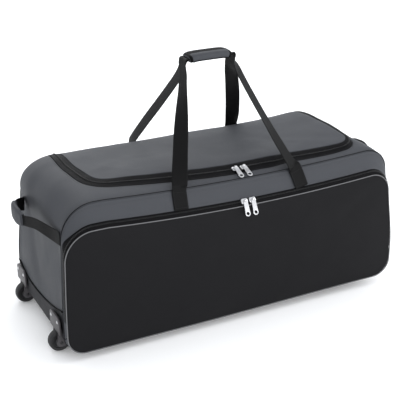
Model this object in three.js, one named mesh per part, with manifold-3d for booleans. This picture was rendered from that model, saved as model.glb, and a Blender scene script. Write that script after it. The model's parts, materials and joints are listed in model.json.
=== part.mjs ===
// Wheeled kit bag: a long soft bag with a zipped lid, a zipped front pocket, a carry handle,
// two end handles and a pair of wheels under its left end.
// Millimetres. X runs along the bag with the wheels at -X, -Y is the pocket side, Z is up.
import * as THREE from 'three';
import { mergeVertices } from 'three/addons/utils/BufferGeometryUtils.js';
import Module from 'manifold-3d';

const wasm = await Module();
wasm.setup();

// Cloth, seams and gaps
const cloth = 2;
const webbing = 2;
const gap = 0.3;
const pipeRadius = 2.2;
const pipeSides = 6;
const seamMargin = pipeRadius + gap;

// Seams of the body, by depth, and the height of the base above the ground
const backSeamY = 200;
const frontSeamY = -165;
const zipEdgeY = -183;
const pocketSeamY = -200;
const baseHeight = 28;
const midDepth = (backSeamY + frontSeamY) / 2;

// Settling of the filled bag: the ends lean out towards the base, the top sags at mid-length
const leanTop = 340;
const leanLow = 110;
const sagCentre = 70;
const sagReach = 430;
const sagDepth = 120;

// Points along each stretch of a section's outline
const steps = { side: 4, topCorner: 5, top: 10, lowCorner: 4, base: 5 };

// Sections of the band from back to front. left and right are the half lengths, top the height,
// sag the drop of the top at mid-length.
const bandForm = { low: baseHeight, lowLeft: 24, lowRight: 50, leanRight: 9 };
const bandSections = [
  { y: backSeamY, top: 390, sag: 0, left: 457, right: 462, leftRadius: 86, rightRadius: 84, leanLeft: 18 },
  { y: 186, top: 403, sag: 0, left: 458, right: 463, leftRadius: 86, rightRadius: 84, leanLeft: 17 },
  { y: 163, top: 413, sag: 1, left: 460, right: 464, leftRadius: 86, rightRadius: 86, leanLeft: 16 },
  { y: 112, top: 421, sag: 2, left: 463, right: 465, leftRadius: 87, rightRadius: 94, leanLeft: 14 },
  { y: 50, top: 423, sag: 3, left: 466, right: 466, leftRadius: 88, rightRadius: 98, leanLeft: 11 },
  { y: -10, top: 423, sag: 4, left: 468, right: 468, leftRadius: 88, rightRadius: 98, leanLeft: 9 },
  { y: -65, top: 421, sag: 6, left: 469, right: 470, leftRadius: 87, rightRadius: 95, leanLeft: 8 },
  { y: -112, top: 418, sag: 9, left: 470, right: 472, leftRadius: 86, rightRadius: 84, leanLeft: 7 },
  { y: -145, top: 414, sag: 13, left: 470, right: 473, leftRadius: 85, rightRadius: 77, leanLeft: 6 },
  { y: frontSeamY, top: 410, sag: 15, left: 470, right: 473, leftRadius: 85, rightRadius: 74, leanLeft: 6 },
].map((row) => ({ ...bandForm, ...row }));
const backSeam = bandSections[0];
const frontSeam = bandSections[bandSections.length - 1];

// Rings of the pocket's gusset: the seam on the body, the zip's rear edge, the piped front edge
const zipEdge = {
  y: zipEdgeY, top: 369, sag: 17, left: 473, right: 467, low: baseHeight,
  leftRadius: 78, rightRadius: 68, lowLeft: 40, lowRight: 48, leanLeft: 5, leanRight: 17,
};
const pocketSeam = {
  y: pocketSeamY, top: 351, sag: 18, left: 474, right: 460, low: baseHeight,
  leftRadius: 74, rightRadius: 58, lowLeft: 46, lowRight: 46, leanLeft: 5, leanRight: 24,
};

// Soft hollows in the cloth: centre, reach and depth of each
const dents = [
  { x: -240, y: 60, z: 420, reach: 95, depth: 4 },
  { x: 40, y: 20, z: 420, reach: 110, depth: 4 },
  { x: 270, y: 70, z: 420, reach: 90, depth: 3 },
  { x: -472, y: 40, z: 215, reach: 95, depth: 5 },
  { x: 474, y: 30, z: 220, reach: 95, depth: 4 },
];

const lerp = THREE.MathUtils.lerp;
const radians = THREE.MathUtils.degToRad;

function dentAt(x, y, z) {
  let depth = 0;
  for (const dent of dents) {
    const far = ((x - dent.x) ** 2 + (y - dent.y) ** 2 + (z - dent.z) ** 2) / dent.reach ** 2;
    depth += dent.depth * Math.exp(-far);
  }
  return depth;
}

function sagAt(section, x) {
  const across = (x - sagCentre) / sagReach;
  return section.sag * Math.max(0, 1 - across * across);
}

// Closed outline of a section, clockwise from the front, moved outwards by offset
function outline(section, offset = 0) {
  const { left, right, low, top, leftRadius, rightRadius, lowLeft, lowRight } = section;
  const loop = [];
  const run = (fromX, fromZ, toX, toZ, count) => {
    for (let i = 0; i < count; i++) {
      loop.push(new THREE.Vector2(lerp(fromX, toX, i / count), lerp(fromZ, toZ, i / count)));
    }
  };
  const arc = (x, z, radius, from, to, count) => {
    for (let i = 0; i < count; i++) {
      const angle = radians(lerp(from, to, i / count));
      loop.push(new THREE.Vector2(x + radius * Math.cos(angle), z + radius * Math.sin(angle)));
    }
  };
  run(-left, low + lowLeft, -left, top - leftRadius, steps.side);
  arc(leftRadius - left, top - leftRadius, leftRadius, 180, 90, steps.topCorner);
  run(leftRadius - left, top, right - rightRadius, top, steps.top);
  arc(right - rightRadius, top - rightRadius, rightRadius, 90, 0, steps.topCorner);
  run(right, top - rightRadius, right, low + lowRight, steps.side);
  arc(right - lowRight, low + lowRight, lowRight, 0, -90, steps.lowCorner);
  run(right - lowRight, low, lowLeft - left, low, steps.base);
  arc(lowLeft - left, low + lowLeft, lowLeft, -90, -180, steps.lowCorner);
  for (const point of loop) {
    const half = point.x < 0 ? left : right;
    const lean = point.x < 0 ? -section.leanLeft : section.leanRight;
    const settled = THREE.MathUtils.smoothstep(leanTop - point.y, 0, leanTop - leanLow);
    const height = THREE.MathUtils.smoothstep(point.y, top - sagDepth, top);
    point.y -= height * sagAt(section, point.x);
    point.x += lean * settled * Math.abs(point.x / half) ** 3;
  }
  return loop.map((point, i) => {
    const next = loop[(i + 1) % loop.length];
    const last = loop[(i + loop.length - 1) % loop.length];
    const out = new THREE.Vector2(last.y - next.y, next.x - last.x).normalize();
    const shift = offset - dentAt(point.x, section.y, point.y);
    return new THREE.Vector3(point.x + out.x * shift, section.y, point.y + out.y * shift);
  });
}

// Closed solids from rows of points

function solidFrom(points, faces) {
  const geometry = new THREE.BufferGeometry();
  const places = points.flatMap((point) => [point.x, point.y, point.z]);
  geometry.setAttribute('position', new THREE.Float32BufferAttribute(places, 3));
  let volume = 0;
  for (const [a, b, c] of faces) {
    volume += points[a].dot(points[b].clone().cross(points[c]));
  }
  const outward = volume > 0 ? faces : faces.map(([a, b, c]) => [a, c, b]);
  geometry.setIndex(outward.flat());
  return geometry;
}

// Solid between two matching grids of rows. A loop's columns close on themselves. With poles, the
// last row of each grid is closed by a point.
function sheetSolid(outer, inner, { loop = false, poles = null } = {}) {
  const rows = outer.length;
  const columns = outer[0].length;
  const points = [...outer.flat(), ...inner.flat()];
  const faces = [];
  const at = (side, row, column) => side * rows * columns + row * columns + column % columns;
  const quad = (a, b, c, d) => faces.push([a, b, c], [a, c, d]);
  const spans = loop ? columns : columns - 1;
  for (let row = 0; row < rows - 1; row++) {
    for (let column = 0; column < spans; column++) {
      quad(at(0, row, column), at(0, row, column + 1), at(0, row + 1, column + 1), at(0, row + 1, column));
      quad(at(1, row, column), at(1, row + 1, column), at(1, row + 1, column + 1), at(1, row, column + 1));
    }
    if (!loop) {
      const end = columns - 1;
      quad(at(0, row, 0), at(0, row + 1, 0), at(1, row + 1, 0), at(1, row, 0));
      quad(at(0, row, end), at(1, row, end), at(1, row + 1, end), at(0, row + 1, end));
    }
  }
  const final = rows - 1;
  for (let column = 0; column < spans; column++) {
    quad(at(0, 0, column), at(1, 0, column), at(1, 0, column + 1), at(0, 0, column + 1));
    if (!poles) {
      quad(at(0, final, column), at(0, final, column + 1), at(1, final, column + 1), at(1, final, column));
    }
  }
  if (poles) {
    const tip = points.length;
    points.push(poles[0], poles[1]);
    for (let column = 0; column < spans; column++) {
      faces.push([at(0, final, column), at(0, final, column + 1), tip]);
      faces.push([at(1, final, column), tip + 1, at(1, final, column + 1)]);
    }
  }
  return solidFrom(points, faces);
}

// Round tube along a closed ring of a section
function pipingSolid(section) {
  const ring = outline(section);
  const sides = [];
  for (let side = 0; side < pipeSides; side++) {
    const angle = 2 * Math.PI * side / pipeSides;
    const row = outline(section, pipeRadius * Math.cos(angle));
    sides.push(row.map((point) => point.setY(section.y + pipeRadius * Math.sin(angle))));
  }
  const points = sides.flat();
  const faces = [];
  const at = (side, column) => (side % pipeSides) * ring.length + column % ring.length;
  for (let side = 0; side < pipeSides; side++) {
    for (let column = 0; column < ring.length; column++) {
      const [a, b] = [at(side, column), at(side, column + 1)];
      const [c, d] = [at(side + 1, column + 1), at(side + 1, column)];
      faces.push([a, b, c], [a, c, d]);
    }
  }
  return solidFrom(points, faces);
}

// Flat ribbon through stations, each a place, a width direction and a face direction
function ribbonSolid(stations, width, thickness) {
  const side = (lift) => stations.map(({ place, across, face }) => [-1, 1].map((edge) =>
    place.clone().addScaledVector(across, edge * width / 2).addScaledVector(face, lift)));
  return sheetSolid(side(thickness / 2), side(-thickness / 2));
}

// Roundness of a wrapped grip's corners, as a share of its half height
const sleeveRound = { outside: 0.9, inside: 0.5 };
const sleeveSteps = 2;

// Sleeve of rounded oblong section round a run of stations
function sleeveSolid(stations, width, height, wallDepth) {
  const ring = (station, inset, roundness) => {
    const points = [];
    const halfWidth = width / 2 - inset;
    const halfHeight = height / 2 - inset;
    const radius = halfHeight * roundness;
    for (let corner = 0; corner < 4; corner++) {
      const signAcross = corner === 0 || corner === 3 ? 1 : -1;
      const signFace = corner < 2 ? 1 : -1;
      for (let i = 0; i <= sleeveSteps; i++) {
        const angle = (corner + i / sleeveSteps) * Math.PI / 2;
        const across = signAcross * (halfWidth - radius) + radius * Math.cos(angle);
        const face = signFace * (halfHeight - radius) + radius * Math.sin(angle);
        points.push(station.place.clone().addScaledVector(station.across, across)
          .addScaledVector(station.face, face));
      }
    }
    return points;
  };
  return sheetSolid(
    stations.map((station) => ring(station, 0, sleeveRound.outside)),
    stations.map((station) => ring(station, wallDepth, sleeveRound.inside)),
    { loop: true },
  );
}

// Even shares of a length
const shares = (count) => Array.from({ length: count + 1 }, (_, i) => i / count);

// Station at a place on a run, with its width direction turned square to the run
function stationAt(place, along, wish) {
  const across = wish.clone().addScaledVector(along, -wish.dot(along)).normalize();
  return { place, across, face: across.clone().cross(along) };
}

// Stations at shares of a curve's length
const stationsAlong = (curve, places, wish) =>
  places.map((share) => stationAt(curve.getPointAt(share), curve.getTangentAt(share), wish));

// Joins and cuts

const mergeReach = 1e-4;

function toManifold(geometry) {
  const bare = geometry.clone();
  bare.deleteAttribute('normal');
  bare.deleteAttribute('uv');
  const merged = mergeVertices(bare, mergeReach);
  const vertProperties = new Float32Array(merged.attributes.position.array);
  const triVerts = new Uint32Array(merged.index.array);
  return new wasm.Manifold(new wasm.Mesh({ numProp: 3, vertProperties, triVerts }));
}

function toGeometry(manifold) {
  const mesh = manifold.getMesh();
  const geometry = new THREE.BufferGeometry();
  geometry.setAttribute('position', new THREE.BufferAttribute(new Float32Array(mesh.vertProperties), 3));
  geometry.setIndex(new THREE.BufferAttribute(new Uint32Array(mesh.triVerts), 1));
  return geometry;
}

const join = (first, ...others) =>
  toGeometry(others.reduce((solid, other) => solid.add(toManifold(other)), toManifold(first)));
const cut = (first, ...others) =>
  toGeometry(others.reduce((solid, other) => solid.subtract(toManifold(other)), toManifold(first)));
const common = (first, second) => toGeometry(toManifold(first).intersect(toManifold(second)));

// Prisms: a shape drawn in (Y, Z), (X, Z) or (X, Y) and drawn out along the third axis

const axisX = new THREE.Vector3(1, 0, 0);
const axisY = new THREE.Vector3(0, 1, 0);
const axisZ = new THREE.Vector3(0, 0, 1);

function prism(shape, depth, curveSegments = 6) {
  return new THREE.ExtrudeGeometry(shape, { depth, bevelEnabled: false, curveSegments });
}

function prismAlongX(shape, from, to, curveSegments) {
  const turn = new THREE.Matrix4().makeBasis(axisY, axisZ, axisX).setPosition(from, 0, 0);
  return prism(shape, to - from, curveSegments).applyMatrix4(turn);
}

function prismAlongY(shape, from, to, curveSegments) {
  const turn = new THREE.Matrix4().makeBasis(axisX, axisZ, axisY.clone().negate()).setPosition(0, to, 0);
  return prism(shape, to - from, curveSegments).applyMatrix4(turn);
}

function prismAlongZ(shape, from, to, curveSegments) {
  return prism(shape, to - from, curveSegments).translate(0, 0, from);
}

function block(fromX, toX, fromY, toY, fromZ, toZ) {
  const box = new THREE.BoxGeometry(toX - fromX, toY - fromY, toZ - fromZ);
  return box.translate((fromX + toX) / 2, (fromY + toY) / 2, (fromZ + toZ) / 2);
}

// Materials

const surface = (color, roughness, metalness = 0) =>
  new THREE.MeshStandardMaterial({ color, roughness, metalness });
const greyCloth = surface(0x5c5d61, 0.8);
const blackCloth = surface(0x242427, 0.75);
const blackTape = surface(0x1b1b1d, 0.7);
const blackWebbing = surface(0x1c1c1e, 0.65);
const paleBraid = surface(0x7e7e82, 0.6);
const darkBraid = surface(0x2a2a2d, 0.6);
const ribbedBase = surface(0x3d3d42, 0.7);
const mouldedPlastic = surface(0x514d52, 0.5);
const tyreRubber = surface(0x1d1c1f, 0.8);
const hubPlastic = surface(0x2c2b2f, 0.45);
const nickel = surface(0xd8d8da, 0.3, 1);

const bag = new THREE.Group();

function addPiece(name, geometry, material, parent = bag) {
  const mesh = new THREE.Mesh(geometry, material);
  mesh.name = name;
  parent.add(mesh);
  return mesh;
}

// Main compartment: one loop of cloth, parted into the dark base and the grey band

const kickMid = 92;
const kickRise = 30;
const kickReach = 185;
const kickLow = 60;
const kickSeat = 1;
const baseRowStep = 3;
const reachX = 600;
const reachY = 260;
const reachTop = 480;

// Height of the base's upper edge on the ends
const kickHeight = (y) => kickMid + kickRise * ((y - midDepth - kickLow / 2) / kickReach) ** 2;

function kickShape(rise) {
  const shape = new THREE.Shape();
  const spans = 12;
  shape.moveTo(-reachY, -reachY);
  for (let i = 0; i <= spans; i++) {
    const y = lerp(-reachY, reachY, i / spans);
    shape.lineTo(y, kickHeight(y) + rise);
  }
  shape.lineTo(reachY, -reachY);
  return shape;
}

const bandDepth = bandSections.map((row, i) => {
  const edge = i === 0 ? -seamMargin : i === bandSections.length - 1 ? seamMargin : 0;
  return { ...row, y: row.y + edge };
});

const bandSheet = (low, high, rows = bandDepth) => sheetSolid(
  rows.map((row) => outline(row, high)),
  rows.map((row) => outline(row, low)),
  { loop: true },
);

// Lid: the zip's middle line in plan, from the back on the left round the front to the back
const lidBackY = 188;
const zipPlan = [
  { x: -364, y: lidBackY },
  { x: -372, y: 12 },
  { x: -350, y: -77 },
  { x: -245, y: -106 },
  { x: 0, y: -128 },
  { x: 180, y: -125 },
  { x: 318, y: -127 },
  { x: 374, y: -98 },
  { x: 388, y: -20 },
  { x: 388, y: lidBackY },
];
const zipPoints = zipPlan.map(({ x, y }) => new THREE.Vector3(x, y, 0));
const zipLine = new THREE.CatmullRomCurve3(zipPoints, false, 'centripetal');
const zipSpans = 32;
const lidTapeHalf = 18;
const chainHalf = 3.6;
const chainRise = 2.2;
const chainSeat = 1.1;
const chainSpans = 33;
const chainEnd = 0.02;

// Plan outline of all that lies inside the zip line moved outwards by offset
function lidShape(offset, backY) {
  const shape = new THREE.Shape();
  for (let i = 0; i <= zipSpans; i++) {
    const along = zipLine.getTangentAt(i / zipSpans);
    const point = zipLine.getPointAt(i / zipSpans);
    const x = point.x + along.y * offset;
    const y = i === 0 || i === zipSpans ? backY : point.y - along.x * offset;
    if (i === 0) shape.moveTo(x, y);
    else shape.lineTo(x, y);
  }
  return shape;
}

const lidPrism = (offset, backY) => prismAlongZ(lidShape(offset, backY), baseHeight + kickLow, reachTop);

const wheelY = [-120, 158];
const wheelNames = ['front', 'rear'];
const wheelX = -476;
const wheelRadius = 29;
const wellHalf = 20;
const wellRight = -434;
const wellTop = 72;

function bodyPieces() {
  const kick = prismAlongX(kickShape(-gap / 2), -reachX, reachX);
  const kickCut = prismAlongX(kickShape(gap / 2), -reachX, reachX);
  const opening = lidPrism(lidTapeHalf + gap, lidBackY + gap);
  addPiece('body_band', cut(bandSheet(-cloth, 0), kickCut, opening), greyCloth);
  const baseRows = bandDepth.filter((row, i) => i % baseRowStep === 0);
  const wells = wheelY.map((y) =>
    block(-reachX, wellRight + gap, y - wellHalf - gap, y + wellHalf + gap, -reachY, wellTop + gap));
  addPiece('base_tray', cut(common(bandSheet(-cloth, 0, baseRows), kick), ...wells), ribbedBase);
  const pipeBand = cut(
    prismAlongX(kickShape(pipeRadius), -reachX, wellRight),
    prismAlongX(kickShape(-pipeRadius), -reachX, wellRight),
  );
  addPiece('kick_piping', common(bandSheet(kickSeat, pipeRadius + kickSeat), pipeBand), darkBraid);
}

const bulgePower = 4;

// Bulged panel inside a seam; facing is +1 for the back and -1 for the front
function panelSolid(section, facing, bulge, ringScales) {
  const edge = outline(section, -seamMargin);
  const centre = new THREE.Vector3();
  edge.forEach((point) => centre.addScaledVector(point, 1 / edge.length));
  const face = (inset) => ringScales.map((scale) => edge.map((point) => {
    const moved = centre.clone().lerp(point, scale);
    return moved.setY(section.y + facing * (bulge * (1 - scale ** bulgePower) - inset));
  }));
  const pole = (inset) => centre.clone().setY(section.y + facing * (bulge - inset));
  return sheetSolid(face(0), face(cloth), { loop: true, poles: [pole(0), pole(cloth)] });
}

const topSheet = new THREE.Mesh(bandSheet(-cloth, 0));
const caster = new THREE.Raycaster();

// Place, cloth normal and direction of the lid's zip at a share of its length
function lidSeat(share) {
  const above = zipLine.getPointAt(share).setZ(reachTop);
  caster.set(above, axisZ.clone().negate());
  const [hit] = caster.intersectObject(topSheet);
  return { point: hit.point, normal: hit.face.normal.clone(), along: zipLine.getTangentAt(share) };
}

function lidPieces() {
  const back = lidBackY;
  addPiece('lid_panel', common(bandSheet(-cloth, 0), lidPrism(-lidTapeHalf - gap, back)), greyCloth);
  const tapeRing = cut(lidPrism(lidTapeHalf, back), lidPrism(-lidTapeHalf, back + gap));
  addPiece('lid_zip_tape', common(bandSheet(-cloth, -gap), tapeRing), blackTape);
  const stations = [];
  for (let i = 0; i <= chainSpans; i++) {
    const seat = lidSeat(lerp(chainEnd, 1 - chainEnd, i / chainSpans));
    const face = seat.normal;
    const place = seat.point.addScaledVector(face, chainSeat + chainRise / 2);
    stations.push({ place, face, across: face.clone().cross(seat.along).normalize() });
  }
  addPiece('lid_zip_chain', ribbonSolid(stations, 2 * chainHalf, chainRise), blackTape);
}

// Front pocket: a shallow tray of gusset and panel, with a zip round its top and sides
const pocketZipLow = 112;
const pocketChainY = -191;
const pocketBulge = 11;
const backBulge = 7;

// Rings of each bulged panel, as shares of its outline
const pocketRings = [1, 0.94, 0.75, 0.45];
const backRings = [1, 0.88, 0.5];

const gussetSheet = (low, high) => {
  const first = { ...frontSeam, y: frontSeamY - seamMargin };
  const last = { ...pocketSeam, y: pocketSeamY + seamMargin };
  const rows = [first, zipEdge, last];
  return sheetSolid(
    rows.map((row) => outline(row, high)),
    rows.map((row) => outline(row, low)),
    { loop: true },
  );
};

// Share of the way from the zip's rear edge to the piped front edge at which the chain runs
const pocketChainShare = (pocketChainY - zipEdgeY) / (pocketSeamY + seamMargin - zipEdgeY);

function pocketChainSolid() {
  const rear = outline(zipEdge);
  const front = outline({ ...pocketSeam, y: pocketSeamY + seamMargin });
  const middle = rear.map((point, i) => point.clone().lerp(front[i], pocketChainShare));
  const stations = [];
  middle.forEach((point, i) => {
    const next = middle[(i + 1) % middle.length];
    const last = middle[(i + middle.length - 1) % middle.length];
    if (last.z < pocketZipLow || point.z < pocketZipLow || next.z < pocketZipLow) return;
    const along = next.clone().sub(last).normalize();
    const across = rear[i].clone().sub(front[i]);
    across.addScaledVector(along, -across.dot(along)).normalize();
    const face = along.clone().cross(across);
    const place = point.clone().addScaledVector(face, chainSeat + chainRise / 2);
    stations.push({ place, across, face });
  });
  return ribbonSolid(stations, 2 * chainHalf, chainRise);
}

function pocketPieces() {
  const zipWindow = (inset) =>
    block(-reachX, reachX, -reachY, zipEdgeY - inset, pocketZipLow + inset, reachTop);
  const sheet = gussetSheet(-cloth, 0);
  addPiece('pocket_gusset', cut(sheet, zipWindow(0)), greyCloth);
  addPiece('pocket_zip_tape', common(gussetSheet(-cloth, -gap), zipWindow(gap)), blackTape);
  addPiece('pocket_zip_chain', pocketChainSolid(), blackTape);
  addPiece('pocket_panel', panelSolid(pocketSeam, -1, pocketBulge, pocketRings), blackCloth);
  addPiece('front_wall', panelSolid(frontSeam, -1, 0, [1]), greyCloth);
  addPiece('back_panel', panelSolid(backSeam, 1, backBulge, backRings), greyCloth);
  addPiece('front_seam_piping', pipingSolid(frontSeam), darkBraid);
  addPiece('back_seam_piping', pipingSolid(backSeam), darkBraid);
  addPiece('pocket_piping', pipingSolid(pocketSeam), paleBraid);
}

// Carry handle: two straps that rise from the front and the back and meet in a wrapped grip
const strapWidth = 40;
const strapCentreX = 4;
const strapFeet = { front: { left: -163, right: 187 }, back: { left: -137, right: 188 } };
const gripHalf = 61;
const gripZ = 678;
const gripWall = 3;
const gripWidth = strapWidth + 2 * (gripWall + 2 * gap);
const gripHeight = 17;
const strapSeat = webbing / 2 + gap;
const backFootDrop = 62;

// Bend of each strap past the grip's end: the distance out, to the strap's own side and down
const gripBend = {
  front: [
    { out: -2, aside: 0, drop: 0 },
    { out: 7, aside: 0, drop: 0.5 },
    { out: 12, aside: 3, drop: 11 },
    { out: 16, aside: 15, drop: 41 },
  ],
  back: [
    { out: -2, aside: 0, drop: 0 },
    { out: 3, aside: 0, drop: 1.2 },
    { out: 7, aside: 3, drop: 11 },
    { out: 11, aside: 15, drop: 39 },
  ],
};

// Where each riser comes down on its seam: inward of the foot, outside the seam and above it
const seamLead = {
  front: { inward: 3, outside: 2, above: 12 },
  back: { inward: 2, outside: 3, above: 9 },
};

// How late each riser takes its quarter turn on the way down from the grip
const twistPower = { front: { left: 1.1, right: 1.5 }, back: { left: 4.5, right: 0.8 } };

// Steps of each riser between the points of its run, and the long stretch that takes the turn
const riserSteps = [1, 2, 3, 2, 9, 2, 2];
const riserTurn = 4;

const topAt = (section, x) => section.top - sagAt(section, x);

// Stations of one riser from the grip down to its foot. end is -1 on the left and +1 on the right,
// side is -1 for the front strap and +1 for the back strap.
function riserStations(side, end) {
  const place = side < 0 ? 'front' : 'back';
  const hand = end < 0 ? 'left' : 'right';
  const seam = side < 0 ? frontSeam : backSeam;
  const layer = -side * (webbing / 2 + gap);
  const footX = strapFeet[place][hand];
  const seamZ = topAt(seam, footX);
  const over = seamMargin + strapSeat + webbing / 2;
  const foot = side < 0
    ? new THREE.Vector3(footX, zipEdgeY - strapSeat, topAt(zipEdge, footX) + strapSeat)
    : new THREE.Vector3(footX, backSeamY + backBulge + strapSeat, seamZ - backFootDrop);
  const lead = seamLead[place];
  const gripX = strapCentreX + end * gripHalf;
  const bend = gripBend[place].map(({ out, aside, drop }) =>
    new THREE.Vector3(gripX + end * out, side * aside, gripZ + layer - drop));
  const curve = new THREE.CatmullRomCurve3([
    new THREE.Vector3(strapCentreX + end * gripHalf / 2, 0, gripZ + layer),
    ...bend,
    new THREE.Vector3(footX - end * lead.inward, seam.y + side * lead.outside, seamZ + lead.above),
    new THREE.Vector3(footX, seam.y + side * over, seamZ),
    foot,
  ], false, 'centripetal');
  const stations = [];
  riserSteps.forEach((count, stretch) => {
    for (let i = stretch === 0 ? 0 : 1; i <= count; i++) {
      const at = (stretch + i / count) / riserSteps.length;
      const turn = THREE.MathUtils.clamp(stretch + i / count - riserTurn, 0, 1) ** twistPower[place][hand];
      const twist = turn * Math.PI / 2;
      const wish = new THREE.Vector3(-end * Math.sin(twist), side * Math.cos(twist), 0);
      stations.push(stationAt(curve.getPoint(at), curve.getTangent(at), wish));
    }
  });
  return stations;
}

function carryHandle() {
  for (const [name, side] of [['carry_strap_front', -1], ['carry_strap_back', 1]]) {
    const left = riserStations(side, -1).reverse();
    left.forEach((station) => station.face.negate());
    const stations = [...left, ...riserStations(side, 1)];
    addPiece(name, ribbonSolid(stations, strapWidth, webbing), blackWebbing);
  }
  const gripLine = new THREE.LineCurve3(
    new THREE.Vector3(strapCentreX - gripHalf + gripWall, 0, gripZ),
    new THREE.Vector3(strapCentreX + gripHalf - gripWall, 0, gripZ),
  );
  const stations = stationsAlong(gripLine, shares(1), axisY);
  addPiece('carry_grip', sleeveSolid(stations, gripWidth, gripHeight, gripWall), greyCloth);
}

// End handles: a strap sewn into the front and back seams of each end, slack in the middle, with
// a wrapped grip
const endStrapWidth = 38;
const endGripHeight = endStrapWidth + 2 * (gripWall + 2 * gap);
const endGripDepth = 15;
const endGripSpan = { left: { from: 0.49, to: 0.78 }, right: { from: 0.39, to: 0.68 } };
const endSteps = 18;
const endGripSteps = 4;

// Run of each end strap from front to back: its height and its slack away from the cloth
const endStations = {
  left: [
    { y: -161, z: 328, slack: -1.3 },
    { y: -122, z: 327, slack: 6 },
    { y: -60, z: 331, slack: 27 },
    { y: 0, z: 322, slack: 45 },
    { y: 62, z: 324, slack: 48 },
    { y: 100, z: 319, slack: 31 },
    { y: 127, z: 306, slack: 8 },
    { y: 142, z: 300, slack: 0.9 },
  ],
  right: [
    { y: -159, z: 342, slack: -1.4 },
    { y: -122, z: 342, slack: 9 },
    { y: -60, z: 342, slack: 27 },
    { y: 0, z: 340, slack: 34 },
    { y: 55, z: 334, slack: 27 },
    { y: 100, z: 324, slack: 12 },
    { y: 128, z: 318, slack: 3 },
    { y: 142, z: 316, slack: -0.6 },
  ],
};

// Distance of the end's cloth from mid-length at a depth and height
function endReach(end, y, z) {
  const rows = bandSections.map((row) => {
    const ring = outline(row).filter((point) => Math.sign(point.x) === end && point.z > leanLow);
    ring.sort((p, q) => Math.abs(p.z - z) - Math.abs(q.z - z));
    const [near, next] = ring;
    return { y: row.y, x: lerp(near.x, next.x, (z - near.z) / (next.z - near.z)) };
  });
  const i = rows.findIndex((row) => row.y <= y);
  const [behind, ahead] = [rows[Math.max(i - 1, 0)], rows[Math.max(i, 1)]];
  return Math.abs(lerp(behind.x, ahead.x, (y - behind.y) / (ahead.y - behind.y)));
}

function endHandle(end, label) {
  const points = endStations[label].map(({ y, z, slack }) => {
    const cloths = [-1, 0, 1].map((edge) => endReach(end, y, z + edge * endStrapWidth / 2));
    const reach = Math.max(...cloths) + webbing / 2 + 2 * gap + slack;
    return new THREE.Vector3(end * reach, y, z);
  });
  const curve = new THREE.CatmullRomCurve3(points, false, 'centripetal');
  const strapRun = stationsAlong(curve, shares(endSteps), axisZ);
  addPiece(`end_strap_${label}`, ribbonSolid(strapRun, endStrapWidth, webbing), blackWebbing);
  const gripSpan = endGripSpan[label];
  const gripShares = shares(endGripSteps).map((share) => lerp(gripSpan.from, gripSpan.to, share));
  const gripRun = stationsAlong(curve, gripShares, axisZ);
  addPiece(`end_grip_${label}`, sleeveSolid(gripRun, endGripHeight, endGripDepth, gripWall), greyCloth);
}

// Zip hardware: sliders that straddle the chain, each with a bridge that carries a pull tab
const sliderLength = 14;
const sliderHalf = 5.6;
const sliderRoom = chainSeat + chainRise + 2 * gap;
const sliderTop = sliderRoom + 2;
const bridgeBar = 2.2;
const bridgePost = 2;
const bridgeInset = 1;
const bridgeRoot = 1;
const bridgeRise = sliderTop + 2.3;
const hingeRise = bridgeRise + bridgeBar / 2;
const knuckleBore = 1.9;
const knuckleRadius = 3.1;
const knuckleHalf = 3;
const tabThickness = 1.8;
const tabRoot = 4.5;
const tabEnd = 7.4;
const tabHoleAt = 34;
const tabHole = 4.2;
const tabLap = 0.6;
const tabCurve = 5;

function polygon(points) {
  return new THREE.Shape(points.map(([u, v]) => new THREE.Vector2(u, v)));
}

function ringShape(radius, bore) {
  const shape = new THREE.Shape().absarc(0, 0, radius, 0, 2 * Math.PI);
  shape.holes.push(new THREE.Path().absarc(0, 0, bore, 0, 2 * Math.PI, true));
  return shape;
}

function sliderSolid() {
  const chainSide = chainHalf + 2 * gap;
  const half = sliderLength / 2;
  const body = prismAlongX(polygon([
    [-sliderHalf, gap], [-chainSide, gap], [-chainSide, sliderRoom], [chainSide, sliderRoom],
    [chainSide, gap], [sliderHalf, gap], [sliderHalf, sliderTop], [-sliderHalf, sliderTop],
  ]), -half, half);
  const outer = half - bridgeInset;
  const inner = outer - bridgePost;
  const root = sliderTop - bridgeRoot;
  const crest = bridgeRise + bridgeBar;
  const bridge = prismAlongY(polygon([
    [-outer, root], [-inner, root], [-inner, bridgeRise], [inner, bridgeRise],
    [inner, root], [outer, root], [outer, crest], [-outer, crest],
  ]), -bridgeBar / 2, bridgeBar / 2);
  return join(body, bridge);
}

// Pull tab about its own hinge line, lying towards -Y
function pullSolid() {
  const knuckle = prismAlongX(ringShape(knuckleRadius, knuckleBore), -knuckleHalf, knuckleHalf, tabCurve);
  const plate = new THREE.Shape();
  plate.moveTo(-tabRoot, tabLap - knuckleRadius);
  plate.lineTo(-tabRoot, -tabHoleAt / 2);
  plate.lineTo(-tabEnd, -tabHoleAt);
  plate.absarc(0, -tabHoleAt, tabEnd, Math.PI, 2 * Math.PI);
  plate.lineTo(tabRoot, -tabHoleAt / 2);
  plate.lineTo(tabRoot, tabLap - knuckleRadius);
  plate.holes.push(new THREE.Path().absarc(0, -tabHoleAt, tabHole, 0, 2 * Math.PI, true));
  return join(knuckle, prismAlongZ(plate, -tabThickness / 2, tabThickness / 2, tabCurve));
}

// A slider seated on the cloth, with its pull tab lying down at an angle below the slider's plane
function addZipPull(label, seat, normal, direction, lie) {
  const along = direction.clone().addScaledVector(normal, -normal.dot(direction)).normalize();
  const basis = new THREE.Matrix4().makeBasis(along, normal.clone().cross(along), normal);
  const slider = new THREE.Group();
  slider.position.copy(seat);
  slider.quaternion.setFromRotationMatrix(basis);
  bag.add(slider);
  const [place, hand] = label;
  addPiece(`${place}_slider_${hand}`, sliderSolid(), nickel, slider);
  const pull = addPiece(`${place}_pull_${hand}`, pullSolid(), nickel, slider);
  pull.position.z = hingeRise;
  pull.rotation.x = radians(lie);
}

const lidSliderX = { left: 20, right: 44 };
const pocketSliderX = { left: 12, right: 35 };
const lidPullLie = 6;
const pocketPullLie = 12;

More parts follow.
